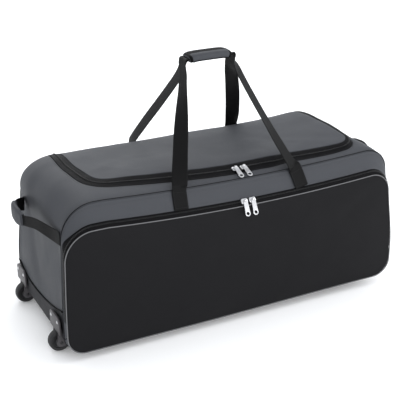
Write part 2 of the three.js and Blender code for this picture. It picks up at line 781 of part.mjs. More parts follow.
function zipHardware() {
  for (const [hand, x] of Object.entries(lidSliderX)) {
    let share = 0.5;
    for (let i = 0; i < zipSpans; i++) {
      share += (x - zipLine.getPointAt(share).x) / zipLine.getLength();
    }
    const { point, normal, along } = lidSeat(share);
    addZipPull(['lid', hand], point, normal, along, lidPullLie);
  }
  for (const [hand, x] of Object.entries(pocketSliderX)) {
    const [upper, lower] = [topAt(zipEdge, x), topAt(pocketSeam, x)];
    const drop = pocketSeamY + seamMargin - zipEdgeY;
    const normal = new THREE.Vector3(0, lower - upper, -drop).normalize();
    const seat = new THREE.Vector3(x, pocketChainY, lerp(upper, lower, pocketChainShare));
    addZipPull(['pocket', hand], seat, normal, axisX, pocketPullLie);
  }
}

// Running gear under the left end: riveted housings, each with a wheel on a fixed axle
const tyreHalf = 11.5;
const tyreBore = 19;
const tyreLip = 1;
const tyreShoulder = 3;
const hubRadius = tyreBore - 2 * gap;
const axleRadius = 4;
const cheekInner = 15.5;
const cheekOuter = 19.5;
const hubBore = axleRadius + 2 * gap;
const hubBoss = hubBore + 4;
const hubDish = hubBore + 6;
const hubHalf = cheekInner - 1;
const webHalf = tyreHalf - 4;
const rimHalf = tyreHalf - 2;
const wheelSides = 20;
const hubSides = 12;
const rivetSides = 8;
const plateOut = -485.6;
const plateIn = -481.2;
const plateLow = 61;
const plateTop = 106;
const plateHalf = 36;
const roofInner = 33;
const roofOuter = 36;
const roofHalf = cheekInner + 1;
const housingCurve = 4;
const flangeTop = baseHeight - gap;
const flangeLow = flangeTop - 3.5;
const flangeRight = -408;
const rivetRadius = 4.5;
const rivetRise = 2.2;
const rivetDome = 0.75;
const rivetSpread = 23;
const rivetHeight = 93;

function turned(profile, segments) {
  const line = profile.map(([radius, along]) => new THREE.Vector2(radius, along));
  const lathe = new THREE.LatheGeometry(line, segments);
  lathe.deleteAttribute('normal');
  lathe.deleteAttribute('uv');
  const merged = mergeVertices(lathe, mergeReach);
  const at = merged.attributes.position;
  const points = Array.from({ length: at.count }, (_, i) => new THREE.Vector3().fromBufferAttribute(at, i));
  const faces = [];
  for (let i = 0; i < merged.index.count; i += 3) {
    const face = [0, 1, 2].map((corner) => merged.index.getX(i + corner));
    if (new Set(face).size === 3) faces.push(face);
  }
  return solidFrom(points, faces);
}

// Outline of a housing's parts: corners of the plate, sweep of the roof, and the cheek that drops
// from the plate to the axle's boss and runs back up to the base
const plateCorner = 14;
const roofSweep = radians(97);
const cheekBoss = { radius: 12, from: radians(165), to: radians(290) };
const cheekHead = { lap: 2, rise: 5, nose: 10 };
const cheekTail = { inset: 8, rise: 20, shoulder: 14, shoulderRise: 7 };

// Housing about the wheel's axle: X and Z from the axle, Y from the wheel's middle
function housingSolid() {
  const [out, inner, right] = [plateOut - wheelX, plateIn - wheelX, wellRight - wheelX];
  const [low, top] = [plateLow - wheelRadius, plateTop - wheelRadius];
  const plate = new THREE.Shape();
  const corner = plateCorner;
  plate.moveTo(-plateHalf, low);
  plate.lineTo(plateHalf, low);
  plate.lineTo(plateHalf, top - corner);
  plate.absarc(plateHalf - corner, top - corner, corner, 0, Math.PI / 2);
  plate.lineTo(corner - plateHalf, top);
  plate.absarc(corner - plateHalf, top - corner, corner, Math.PI / 2, Math.PI);
  const roof = new THREE.Shape();
  roof.absarc(0, 0, roofOuter, 0, roofSweep);
  roof.absarc(0, 0, roofInner, roofSweep, 0, true);
  const cheek = new THREE.Shape();
  cheek.moveTo(inner - cheekHead.lap, low + cheekHead.rise);
  cheek.lineTo(out, cheekHead.nose);
  cheek.absarc(0, 0, cheekBoss.radius, cheekBoss.from, cheekBoss.to);
  cheek.lineTo(right - cheekTail.inset, flangeLow - wheelRadius);
  cheek.lineTo(right, flangeTop - wheelRadius);
  cheek.lineTo(right, cheekTail.rise);
  cheek.lineTo(right - cheekTail.shoulder, low + cheekTail.shoulderRise);
  cheek.holes.push(new THREE.Path().absarc(0, 0, hubBore, 0, 2 * Math.PI, true));
  const flange = block(roofInner, flangeRight - wheelX, -cheekOuter, cheekOuter,
    flangeLow - wheelRadius, flangeTop - wheelRadius);
  return join(
    prismAlongX(plate, out, inner, housingCurve),
    prismAlongY(roof, -roofHalf, roofHalf, housingCurve),
    prismAlongY(cheek, -cheekOuter, -cheekInner, housingCurve),
    prismAlongY(cheek, cheekInner, cheekOuter, housingCurve),
    flange,
  );
}

function runningGear() {
  const lip = tyreHalf - tyreLip;
  const shoulder = wheelRadius - tyreShoulder;
  wheelNames.forEach((name, i) => {
    const gear = new THREE.Group();
    gear.position.set(wheelX, wheelY[i], wheelRadius);
    bag.add(gear);
    addPiece(`wheel_housing_${name}`, housingSolid(), mouldedPlastic, gear);
    addPiece(`wheel_tyre_${name}`, turned([
      [tyreBore, -lip], [shoulder, -tyreHalf], [wheelRadius, -tyreHalf / 2],
      [wheelRadius, tyreHalf / 2], [shoulder, tyreHalf], [tyreBore, lip], [tyreBore, -lip],
    ], wheelSides), tyreRubber, gear);
    addPiece(`wheel_hub_${name}`, turned([
      [hubBore, -hubHalf], [hubBoss, -hubHalf], [hubDish, -webHalf], [hubRadius, -rimHalf],
      [hubRadius, rimHalf], [hubDish, webHalf], [hubBoss, hubHalf], [hubBore, hubHalf],
      [hubBore, -hubHalf],
    ], hubSides), hubPlastic, gear);
    const axle = new THREE.CylinderGeometry(axleRadius, axleRadius, 2 * cheekOuter, hubSides);
    addPiece(`wheel_axle_${name}`, axle, nickel, gear);
    for (const [hand, side] of [['a', -1], ['b', 1]]) {
      const rivet = addPiece(`rivet_${name}_${hand}`, turned([
        [0, 0], [rivetRadius, 0], [rivetDome * rivetRadius, rivetDome * rivetRise], [0, rivetRise],
      ], rivetSides), nickel, gear);
      rivet.position.set(plateOut - gap - wheelX, side * rivetSpread, rivetHeight - wheelRadius);
      rivet.rotation.z = Math.PI / 2;
    }
  });
}

// Two plain feet that hold the right end level with the wheels
const footX = { from: 340, to: 408 };
const footHalf = 24;
const footTaper = 6;

function feet() {
  wheelNames.forEach((name, i) => {
    const profile = polygon([
      [footX.from + footTaper, 0], [footX.to - footTaper, 0], [footX.to, flangeTop], [footX.from, flangeTop],
    ]);
    const foot = prismAlongY(profile, wheelY[i] - footHalf, wheelY[i] + footHalf);
    addPiece(`rest_foot_${name}`, foot, mouldedPlastic);
  });
}

bodyPieces();
lidPieces();
pocketPieces();
carryHandle();
endHandle(-1, 'left');
endHandle(1, 'right');
zipHardware();
runningGear();
feet();

// The origin is on the ground under the middle of the bag's box
const extent = new THREE.Box3().setFromObject(bag, true);
const middle = extent.getCenter(new THREE.Vector3());
bag.position.set(-middle.x, -middle.y, -extent.min.z);
const kitBag = new THREE.Group();
kitBag.add(bag);

export default kitBag;
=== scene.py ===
import json
import math
from collections import namedtuple

import bmesh
import bpy
from mathutils import Matrix, Vector, noise


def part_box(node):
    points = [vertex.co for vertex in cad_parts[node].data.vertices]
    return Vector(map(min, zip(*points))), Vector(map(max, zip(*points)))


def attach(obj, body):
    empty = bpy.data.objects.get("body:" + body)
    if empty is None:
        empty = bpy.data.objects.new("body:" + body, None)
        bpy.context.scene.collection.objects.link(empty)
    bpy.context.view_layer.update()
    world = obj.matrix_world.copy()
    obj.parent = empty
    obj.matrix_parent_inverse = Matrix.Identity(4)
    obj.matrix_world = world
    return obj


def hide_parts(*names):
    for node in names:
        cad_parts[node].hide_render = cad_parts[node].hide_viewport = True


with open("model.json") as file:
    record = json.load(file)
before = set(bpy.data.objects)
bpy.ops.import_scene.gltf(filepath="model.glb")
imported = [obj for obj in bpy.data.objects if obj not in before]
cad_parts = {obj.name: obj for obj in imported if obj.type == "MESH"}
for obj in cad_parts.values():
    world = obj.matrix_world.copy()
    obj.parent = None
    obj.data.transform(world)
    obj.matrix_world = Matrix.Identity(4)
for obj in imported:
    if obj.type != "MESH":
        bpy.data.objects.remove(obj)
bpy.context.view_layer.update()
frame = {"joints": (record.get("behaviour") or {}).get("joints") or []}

mm = 0.001

# The bag is drawn in millimetres about its own middle.
# Its front foot tells how far that lies off the frame's origin.
drawnFoot = Vector((340, -144, 0))
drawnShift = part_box("rest_foot_front")[0] - drawnFoot * mm
drawnScale = Matrix.Diagonal((mm, mm, mm, 1))


def toFrame(point):
    return Vector(point) * mm + drawnShift


def lerp(a, b, t):
    return a + (b - a) * t


def smoothStep(t):
    t = min(max(t, 0.0), 1.0)
    return t * t * (3 - 2 * t)


def spread(start, stop, count):
    return [lerp(start, stop, i / count) for i in range(count + 1)]


def stepped(places, counts):
    # Evenly spaced values from each place to the next
    values = []
    for start, stop, count in zip(places, places[1:], counts):
        values += spread(start, stop, count)[:-1]
    return [*values, places[-1]]


# Materials

def addNode(tree, kind, inputs=None, **settings):
    node = tree.nodes.new(kind)
    for key, value in settings.items():
        setattr(node, key, value)
    for key, value in (inputs or {}).items():
        if isinstance(value, bpy.types.NodeSocket):
            tree.links.new(value, node.inputs[key])
        else:
            node.inputs[key].default_value = value
    return node


def calc(tree, operation, *values):
    node = addNode(tree, "ShaderNodeMath", dict(enumerate(values)), operation=operation)
    return node.outputs[0]


def newGroup(name, inputs, outputs):
    tree = bpy.data.node_groups.new(name, "ShaderNodeTree")
    for label, kind, value in inputs:
        socket = tree.interface.new_socket(label, in_out="INPUT", socket_type=kind)
        if value is not None:
            socket.default_value = value
    for label in outputs:
        tree.interface.new_socket(label, in_out="OUTPUT", socket_type="NodeSocketFloat")
    return tree, tree.nodes.new("NodeGroupInput").outputs, tree.nodes.new("NodeGroupOutput").inputs


def makeWeaveGroup():
    tree, given, result = newGroup("plainWeave", [
        ("Vector", "NodeSocketVector", None),
        ("Threads", "NodeSocketFloat", 900.0),
    ], ["Height", "Shade"])
    scaled = addNode(tree, "ShaderNodeVectorMath", {
        0: given["Vector"], "Scale": given["Threads"],
    }, operation="SCALE")
    parts = addNode(tree, "ShaderNodeSeparateXYZ", {0: scaled.outputs[0]}).outputs
    ridges = []
    cells = []
    for axis in (0, 1):
        turned = calc(tree, "MULTIPLY", parts[axis], math.pi)
        ridges.append(calc(tree, "ABSOLUTE", calc(tree, "SINE", turned)))
        cells.append(calc(tree, "FLOOR", parts[axis]))
    over = calc(tree, "FLOORED_MODULO", calc(tree, "ADD", *cells), 2.0)
    under = calc(tree, "SUBTRACT", 1.0, over)
    height = calc(tree, "MULTIPLY_ADD", ridges[0], over, calc(tree, "MULTIPLY", ridges[1], under))
    tree.links.new(height, result["Height"])
    tree.links.new(calc(tree, "MULTIPLY_ADD", over, 0.12, 0.94), result["Shade"])
    return tree


def makeRibGroup():
    tree, given, result = newGroup("strapRibs", [
        ("Vector", "NodeSocketVector", None),
        ("Ribs", "NodeSocketFloat", 500.0),
        ("Picks", "NodeSocketFloat", 700.0),
    ], ["Height", "Shade"])
    parts = addNode(tree, "ShaderNodeSeparateXYZ", {0: given["Vector"]}).outputs
    along = calc(tree, "MULTIPLY", parts[0], given["Picks"])
    across = calc(tree, "MULTIPLY", parts[1], given["Ribs"])
    column = calc(tree, "FLOOR", across)
    slant = calc(tree, "MULTIPLY", calc(tree, "FLOORED_MODULO", column, 2.0), math.pi / 2)
    rib = calc(tree, "ABSOLUTE", calc(tree, "SINE", calc(tree, "MULTIPLY", across, math.pi)))
    pick = calc(tree, "SINE", calc(tree, "ADD", calc(tree, "MULTIPLY", along, math.pi), slant))
    height = calc(tree, "MULTIPLY", calc(tree, "ADD", calc(tree, "ABSOLUTE", pick), rib), 0.5)
    tree.links.new(height, result["Height"])
    # Painted shade: the colour follows the rib height, darker down in the grooves between ribs and picks and
    # lighter on their crests
    tree.links.new(calc(tree, "MULTIPLY_ADD", height, 0.5, 0.72), result["Shade"])
    return tree


def makeWearGroup():
    tree, given, result = newGroup("unevenTone", [
        ("Vector", "NodeSocketVector", None),
        ("Grain", "NodeSocketFloat", 260.0),
        ("Depth", "NodeSocketFloat", 0.14),
    ], ["Tone", "Grain", "Rough"])
    patch = addNode(tree, "ShaderNodeTexNoise", {
        "Vector": given["Vector"], "Scale": 9.0, "Detail": 3.0, "Roughness": 0.55,
    }).outputs[0]
    grain = addNode(tree, "ShaderNodeTexNoise", {
        "Vector": given["Vector"], "Scale": given["Grain"], "Detail": 2.0,
    }).outputs[0]
    swing = calc(tree, "SUBTRACT", patch, 0.5)
    tone = calc(tree, "MULTIPLY_ADD", swing, given["Depth"], 1.0)
    speck = calc(tree, "MULTIPLY_ADD", calc(tree, "SUBTRACT", grain, 0.5), 0.12, tone)
    tree.links.new(speck, result["Tone"])
    tree.links.new(grain, result["Grain"])
    tree.links.new(calc(tree, "MULTIPLY", swing, 0.25), result["Rough"])
    return tree


weaveGroup = makeWeaveGroup()
ribGroup = makeRibGroup()
wearGroup = makeWearGroup()


def startMaterial(name, finish):
    material = bpy.data.materials.new(name)
    material.use_nodes = True
    tree = material.node_tree
    shader = tree.nodes["Principled BSDF"]
    for socket, key, usual in (
        ("Metallic", "metallic", 0.0),
        ("Sheen Weight", "sheen", 0.0),
        ("Specular IOR Level", "specular", 0.5),
    ):
        shader.inputs[socket].default_value = finish.get(key, usual)
    place = addNode(tree, "ShaderNodeTexCoord").outputs
    wear = addNode(tree, "ShaderNodeGroup", {
        "Vector": place["Object"], "Grain": finish.get("grain", 260.0), "Depth": finish.get("depth", 0.14),
    }, node_tree=wearGroup).outputs
    tree.links.new(calc(tree, "ADD", wear["Rough"], finish["rough"]), shader.inputs["Roughness"])
    return material, tree, shader, place, wear


def tint(tree, shader, colour, shade):
    mixed = addNode(tree, "ShaderNodeVectorMath", {0: colour, "Scale": shade}, operation="SCALE")
    tree.links.new(mixed.outputs[0], shader.inputs["Base Color"])


def relief(tree, shader, height, distance, strength):
    bump = addNode(tree, "ShaderNodeBump", {"Height": height, "Strength": strength, "Distance": distance})
    tree.links.new(bump.outputs[0], shader.inputs["Normal"])


def wovenMaterial(name, group, counts, finish):
    # counts are the group's threads for each metre of the cloth's own coordinates
    material, tree, shader, place, wear = startMaterial(name, finish)
    threads = addNode(tree, "ShaderNodeGroup", {"Vector": place["UV"], **counts}, node_tree=group).outputs
    # With the rib group, Shade is painted shade, darker in the grooves. With the plain weave, it lifts the
    # cells where one set of threads lies on top
    tint(tree, shader, finish["colour"], calc(tree, "MULTIPLY", wear["Tone"], threads["Shade"]))
    relief(tree, shader, threads["Height"], finish["bump"], 0.6 if group == weaveGroup else 0.8)
    return material


def solidMaterial(name, finish):
    material, tree, shader, _, wear = startMaterial(name, finish)
    tint(tree, shader, finish["colour"], wear["Tone"])
    relief(tree, shader, wear["Grain"], finish["bump"], 0.4)
    return material


greyCloth = wovenMaterial("greyCloth", weaveGroup, {"Threads": 900.0}, {
    "colour": (0.0492, 0.0517, 0.0582), "rough": 0.6, "sheen": 0.012, "depth": 0.16, "specular": 0.14,
    "bump": 0.00012,
})
blackCloth = wovenMaterial("blackCloth", weaveGroup, {"Threads": 900.0}, {
    "colour": (0.0062, 0.0061, 0.007), "rough": 0.6, "depth": 0.2, "specular": 0.1, "bump": 0.00012,
})
baseCloth = wovenMaterial("baseCloth", ribGroup, {"Ribs": 260.0, "Picks": 320.0}, {
    "colour": (0.02, 0.02, 0.0225), "rough": 0.6, "specular": 0.14, "bump": 0.0006,
})
tapeCloth = wovenMaterial("tapeCloth", ribGroup, {"Ribs": 800.0, "Picks": 900.0}, {
    "colour": (0.0042, 0.0041, 0.0047), "rough": 0.65, "specular": 0.07, "bump": 0.0003,
})
strapWebbing = wovenMaterial("strapWebbing", ribGroup, {"Ribs": 420.0, "Picks": 520.0}, {
    "colour": (0.005, 0.005, 0.0052), "rough": 0.55, "specular": 0.08, "bump": 0.0004,
})
bindingTape = wovenMaterial("bindingTape", ribGroup, {"Ribs": 900.0, "Picks": 900.0}, {
    "colour": (0.0036, 0.0036, 0.0041), "rough": 0.6, "specular": 0.06, "bump": 0.0003,
})
paleBraid = solidMaterial("paleBraid", {
    "colour": (0.12, 0.12, 0.124), "rough": 0.55, "grain": 900.0, "bump": 0.0004, "specular": 0.25,
})
darkBraid = solidMaterial("darkBraid", {
    "colour": (0.006, 0.006, 0.007), "rough": 0.6, "grain": 900.0, "bump": 0.0004, "specular": 0.08,
})
zipTeeth = solidMaterial("zipTeeth", {
    "colour": (0.006, 0.006, 0.0065), "rough": 0.4, "grain": 500.0, "bump": 0.00005,
})
greyThread = solidMaterial("greyThread", {
    "colour": (0.033, 0.034, 0.037), "rough": 0.7, "grain": 2000.0, "bump": 0.0001,
})
blackThread = solidMaterial("blackThread", {
    "colour": (0.0075, 0.0075, 0.0085), "rough": 0.7, "grain": 2000.0, "bump": 0.0001,
})
brightNickel = solidMaterial("brightNickel", {
    "colour": (0.6, 0.6, 0.61), "rough": 0.3, "metallic": 1.0, "grain": 700.0, "depth": 0.08, "bump": 0.00003,
})
brightSteel = solidMaterial("brightSteel", {
    "colour": (0.55, 0.55, 0.56), "rough": 0.32, "metallic": 1.0, "grain": 900.0, "bump": 0.00003,
})
housingPlastic = solidMaterial("housingPlastic", {
    "colour": (0.045, 0.041, 0.045), "rough": 0.45, "grain": 1200.0, "bump": 0.00012,
})
hubPlastic = solidMaterial("hubPlastic", {
    "colour": (0.0095, 0.009, 0.0105), "rough": 0.4, "grain": 1200.0, "bump": 0.0001,
})
tyreRubber = solidMaterial("tyreRubber", {
    "colour": (0.0057, 0.0054, 0.0063), "rough": 0.6, "grain": 800.0, "bump": 0.0002,
})
print("materials made")


# Shape of the bag: rounded sections along its depth

Row = namedtuple("Row", "y top sag left right leftRadius rightRadius leanLeft leanRight lowRight lowLeft")

bagForm = {
    # the first eight values of each section of the main compartment, from the back to the front
    "rows": [
        (200, 390, 0, 457, 462, 86, 84, 18),
        (186, 403, 0, 458, 463, 86, 84, 17),
        (163, 413, 1, 460, 464, 86, 86, 16),
        (112, 421, 2, 463, 465, 87, 94, 14),
        (50, 423, 3, 466, 466, 88, 98, 11),
        (-10, 423, 4, 468, 468, 88, 98, 9),
        (-65, 421, 6, 469, 470, 87, 95, 8),
        (-112, 418, 9, 470, 472, 86, 84, 7),
        (-145, 414, 13, 470, 473, 85, 77, 6),
        (-165, 410, 15, 470, 473, 85, 74, 6),
    ],
    "rowsLow": (9, 50, 24),   # and their last three
    "zipEdge": Row(-183, 369, 17, 473, 467, 78, 68, 5, 17, 48, 40),
    "pocketSeam": Row(-200, 351, 18, 474, 460, 74, 58, 5, 24, 46, 46),
    # droop of the pocket's lower edge towards the wheels
    "bellySag": 5.0,
    "bellyHeight": 70,
    "bellyY": (-140, -200),
    "bellyX": (-150, 410),
    "low": 28,
    "leanTop": 340,
    "leanLow": 110,
    "sagCentre": 70,
    "sagReach": 430,
    "sagDepth": 120,
    "kickMid": 92,
    "kickRise": 30,
    "kickReach": 185,
    "kickCentre": 47.5,
    "cloth": 2.0,
    "seamMargin": 1.2,
    "seamHold": 26,   # the cloth is drawn flat this near to a seam
    "stretchLengths": (285, 135, 765, 130, 259, 78, 864, 38),
}
bandRows = [Row(*row, *bagForm["rowsLow"]) for row in bagForm["rows"]]
backSeam = bandRows[0]
frontSeam = bandRows[-1]
zipEdge = bagForm["zipEdge"]
pocketSeam = bagForm["pocketSeam"]
backY = backSeam.y - bagForm["seamMargin"]
frontY = frontSeam.y + bagForm["seamMargin"]

# Soft hollows and folds of the filled cloth: from, to, width and depth in millimetres
softFolds = [
    ((-240, 60, 420), (-200, 70, 420), 80, 4.0),
    ((10, 10, 420), (70, 30, 420), 90, 4.0),
    ((250, 70, 420), (300, 75, 420), 75, 3.0),
    ((-472, 20, 180), (-472, 60, 250), 70, 5.0),
    ((474, 0, 200), (474, 60, 240), 75, 4.0),
    ((110, -150, 402), (230, -60, 418), 16, 1.8),
    ((60, -120, 405), (150, -40, 420), 20, -1.2),
    ((-300, -60, 418), (-180, 110, 420), 26, 1.6),
    ((-330, -20, 420), (-250, 30, 420), 14, -1.0),
    ((150, 40, 420), (330, -70, 415), 24, 1.4),
    ((140, -45, 416), (185, -15, 418), 34, 4.0),
    ((20, -25, 416), (85, -60, 413), 38, 3.0),
    ((-275, -174, 380), (-215, -172, 386), 17, -3.4),
    ((112, -172, 394), (168, -178, 386), 8, 4.0),
    ((105, -182, 372), (172, -184, 374), 9, -3.0),
    ((-160, -176, 392), (-120, -172, 398), 10, 2.0),
    ((-205, -176, 388), (-190, -180, 372), 12, -1.8),
    ((130, -174, 392), (178, -180, 376), 10, 2.2),
    ((200, -172, 398), (236, -180, 372), 12, -1.6),
    ((-20, -170, 396), (60, -182, 368), 16, 1.2),
    ((-330, -172, 396), (-250, -181, 376), 18, 1.4),
    ((320, -172, 396), (380, -182, 372), 16, 1.4),
    ((-465, -150, 300), (-468, -60, 230), 16, 2.2),
    ((-468, -140, 180), (-470, 10, 130), 22, 2.0),
    ((-466, 120, 300), (-470, 40, 150), 24, 2.4),
    ((-440, -120, 385), (-410, -40, 405), 20, 1.8),
    ((-446, -20, 380), (-440, 130, 372), 60, -5.0),
    ((-446, 110, 362), (-442, 185, 352), 42, -6.0),
    ((468, 150, 320), (472, -40, 140), 26, 2.4),
    ((468, -120, 300), (472, -20, 180), 18, 2.0),
]
softNoise = [(150, 2.2), (52, 0.8), (21, 0.25)]   # size and height of the uneven filling, mm


def foldMove(point, folds):
    move = 0.0
    for start, stop, wide, deep in folds:
        start = Vector(start)
        run = Vector(stop) - start
        share = (point - start).dot(run) / run.length_squared
        held = min(max(share, 0.0), 1.0)
        away = (point - start - run * held).length / wide
        move -= deep * math.exp(-away * away)
    return move


def fillMove(point):
    return sum(height * noise.noise(point / size) for size, height in softNoise)


def ease(value, start, stop):
    return smoothStep((value - start) / (stop - start))


def hermite(a, b, slopeA, slopeB, t):
    return (2 * t ** 3 - 3 * t ** 2 + 1) * a + (t ** 3 - 2 * t ** 2 + t) * slopeA \
        + (3 * t ** 2 - 2 * t ** 3) * b + (t ** 3 - t ** 2) * slopeB


def rowAt(y):
    # The section at a depth: smooth along the main bag, straight between the pocket's seams
    for here, there in ((frontSeam, zipEdge), (zipEdge, pocketSeam)):
        if there.y <= y < here.y:
            share = (y - here.y) / (there.y - here.y)
            return Row(*[lerp(a, b, share) for a, b in zip(here, there)])
    i = 0
    while i < len(bandRows) - 2 and y < bandRows[i + 1].y:
        i += 1
    before, here = bandRows[max(i - 1, 0)], bandRows[i]
    there, after = bandRows[i + 1], bandRows[min(i + 2, len(bandRows) - 1)]
    span = there.y - here.y
    values = [y]
    for k in range(1, len(here)):
        slopeA = (there[k] - before[k]) / (there.y - before.y) * span
        slopeB = (after[k] - here[k]) / (after.y - here.y) * span
        values.append(hermite(here[k], there[k], slopeA, slopeB, (y - here.y) / span))
    return Row(*values)


def sagAt(row, x):
    across = (x - bagForm["sagCentre"]) / bagForm["sagReach"]
    return row.sag * max(0.0, 1 - across * across)


def topAt(row, x):
    return row.top - sagAt(row, x)


def settle(row, x, z):
    # The filled bag leans out at its ends towards the base and sags along its top
    half, lean = (row.left, -row.leanLeft) if x < 0 else (row.right, row.leanRight)
    low = bagForm["low"]
    under = ease(z, low + bagForm["bellyHeight"], low) * ease(row.y, *bagForm["bellyY"])
    belly = bagForm["bellySag"] * under * (1 - ease(x, *bagForm["bellyX"]))
    leaning = ease(z, bagForm["leanTop"], bagForm["leanLow"])
    height = ease(z, row.top - bagForm["sagDepth"], row.top)
    return Vector((x + lean * leaning * abs(x / half) ** 3, row.y, z - height * sagAt(row, x) - belly))


def loopPoint(row, u):
    # u runs 0-1 up the left side, 1-2 round the corner, 2-3 along the top, 3-4 round the corner,
    # 4-5 down the right side, 5-6 round the low corner, 6-7 along the base and 7-8 round the last corner
    low, lowLeft, lowRight = bagForm["low"], row.lowLeft, row.lowRight
    leftX, leftZ = row.leftRadius - row.left, row.top - row.leftRadius
    rightX, rightZ = row.right - row.rightRadius, row.top - row.rightRadius
    stretch = int(u % 8)
    share = u % 8 - stretch
    if stretch == 0:
        return settle(row, -row.left, lerp(low + lowLeft, leftZ, share))
    if stretch == 2:
        return settle(row, lerp(leftX, rightX, share), row.top)
    if stretch == 4:
        return settle(row, row.right, lerp(rightZ, low + lowRight, share))
    if stretch == 6:
        return settle(row, lerp(row.right - lowRight, lowLeft - row.left, share), low)
    radius, x, z, turn = {
        1: (row.leftRadius, leftX, leftZ, 180),
        3: (row.rightRadius, rightX, rightZ, 90),
        5: (lowRight, row.right - lowRight, low + lowRight, 0),
        7: (lowLeft, lowLeft - row.left, low + lowLeft, -90),
    }[stretch]
    angle = math.radians(turn - 90 * share)
    return settle(row, x + radius * math.cos(angle), z + radius * math.sin(angle))


def clothPoint(u, y, lift=0.0, soft=1.0):
    # A point on the bag's cloth and its outward direction
    row = rowAt(y)
    point = loopPoint(row, u)
    ahead = rowAt(y + 0.5) if y + 0.5 <= backSeam.y else row
    behind = rowAt(y - 0.5) if y - 0.5 >= pocketSeam.y else row
    along = loopPoint(row, u + 0.01) - loopPoint(row, u - 0.01)
    normal = along.cross(loopPoint(ahead, u) - loopPoint(behind, u)).normalized()
    seamNear = min(abs(y - seam.y) for seam in (backSeam, frontSeam, pocketSeam))
    held = soft * smoothStep(seamNear / bagForm["seamHold"])
    return point + normal * (lift + held * (foldMove(point, softFolds) + fillMove(point))), normal


stretchStarts = [sum(bagForm["stretchLengths"][:i]) for i in range(9)]


def lengthAt(u):
    turns, u = divmod(u, 8)
    stretch = int(u)
    past = (u - stretch) * bagForm["stretchLengths"][stretch]
    return turns * stretchStarts[8] + stretchStarts[stretch] + past


def uAtLength(length):
    turns, length = divmod(length, stretchStarts[8])
    stretch = max(i for i in range(8) if stretchStarts[i] <= length)
    return turns * 8 + stretch + (length - stretchStarts[stretch]) / bagForm["stretchLengths"][stretch]


def uAtX(x, y):
    # The place on the top of the bag under a plan point
    row = rowAt(y)
    leftX, rightX = row.leftRadius - row.left, row.right - row.rightRadius
    if x < leftX:
        return 3 - math.acos(max(-1.0, (x - leftX) / row.leftRadius)) / (math.pi / 2)
    if x > rightX:
        return 4 - math.acos(min(1.0, (x - rightX) / row.rightRadius)) / (math.pi / 2)
    return 2 + (x - leftX) / (rightX - leftX)


def uAtHeight(y, z, end):
    # The place at a height on the left end, -1, or the right end, 1
    row = rowAt(y)
    radius, low = (row.leftRadius, row.lowLeft) if end < 0 else (row.rightRadius, row.lowRight)
    low += bagForm["low"]
    share = (z - low) / (row.top - radius - low)
    return share if end < 0 else 5 - share


def kickU(y, end):
    # Where the base meets the end's cloth
    away = (y - bagForm["kickCentre"]) / bagForm["kickReach"]
    return uAtHeight(y, bagForm["kickMid"] + bagForm["kickRise"] * away ** 2, end)


# Meshes

def mappedGrid(columns, rows, place):
    # A flat grid whose points are moved to place(i, j), which gives a drawn point and its cloth coordinates
    bm = bmesh.new()
    bmesh.ops.create_grid(bm, x_segments=columns, y_segments=rows, size=0.5)
    uvs = {}
    for vert in bm.verts:
        i = round((vert.co.x + 0.5) * columns)
        j = round((vert.co.y + 0.5) * rows)
        point, uv = place(i, j)
        vert.co = toFrame(point)
        uvs[vert] = uv
    layer = bm.loops.layers.uv.verify()
    for face in bm.faces:
        for loop in face.loops:
            loop[layer].uv = uvs[loop.vert]
    return bm


drawnMiddle = Vector((0, 15, 215))   # inside the main compartment


def faceOutwards(bm):
    inside = toFrame(drawnMiddle)
    bm.normal_update()
    lean = sum(face.normal.dot(face.calc_center_median() - inside) * face.calc_area() for face in bm.faces)
    if lean < 0:
        bmesh.ops.reverse_faces(bm, faces=bm.faces[:])


def weld(bm, distance=1e-6):
    bmesh.ops.remove_doubles(bm, verts=bm.verts[:], dist=distance)


def closeUp(bm, distance=1e-6):
    weld(bm, distance)
    bmesh.ops.recalc_face_normals(bm, faces=bm.faces[:])


def picked(made, kind):
    return [item for item in made["geom"] if isinstance(item, kind)]


def moveMesh(bm, matrix):
    bmesh.ops.transform(bm, matrix=matrix, verts=bm.verts[:])


def addPiece(name, bm, material, slot, body="bag", stands=()):
    mesh = bpy.data.meshes.new(name)
    bm.to_mesh(mesh)
    bm.free()
    mesh.polygons.foreach_set("use_smooth", [True] * len(mesh.polygons))
    mesh.materials.append(material)
    piece = bpy.data.objects.new(name, mesh)
    bpy.context.scene.collection.objects.link(piece)
    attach(piece, body)
    if stands:
        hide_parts(*stands)
    return piece


def roundOff(piece):
    rounding = piece.modifiers.new("rounding", "SUBSURF")
    rounding.levels = rounding.render_levels = 1


def thicken(piece, thickness, offset=-1.0):
    wall = piece.modifiers.new("wall", "SOLIDIFY")
    wall.thickness = thickness * mm
    wall.offset = offset
    roundOff(piece)


def addInto(bm, mesh):
    bm.from_mesh(mesh)
    bpy.data.meshes.remove(mesh)


def tubeInto(bm, points, radius, closed=False):
    # A round cord along drawn points, added to a mesh
    curve = bpy.data.curves.new("cord", "CURVE")
    curve.dimensions = "3D"
    curve.bevel_depth = radius * mm
    curve.bevel_resolution = 3
    curve.use_fill_caps = True
    line = curve.splines.new("POLY")
    line.points.add(len(points) - 1)
    for spot, point in zip(line.points, points):
        spot.co = (*toFrame(point), 1.0)
    line.use_cyclic_u = closed
    drawn = bpy.data.objects.new("cord", curve)
    bpy.context.scene.collection.objects.link(drawn)
    seen = drawn.evaluated_get(bpy.context.evaluated_depsgraph_get())
    addInto(bm, bpy.data.meshes.new_from_object(seen))
    bpy.data.objects.remove(drawn)


def joinInto(bm, part):
    mesh = bpy.data.meshes.new("part")
    part.to_mesh(mesh)
    part.free()
    addInto(bm, mesh)


def facingTurn(along, up):
    # A turn that lays x along and z towards up
    up = (up - along * up.dot(along)).normalized()
    return Matrix((along, up.cross(along), up)).transposed().to_4x4()


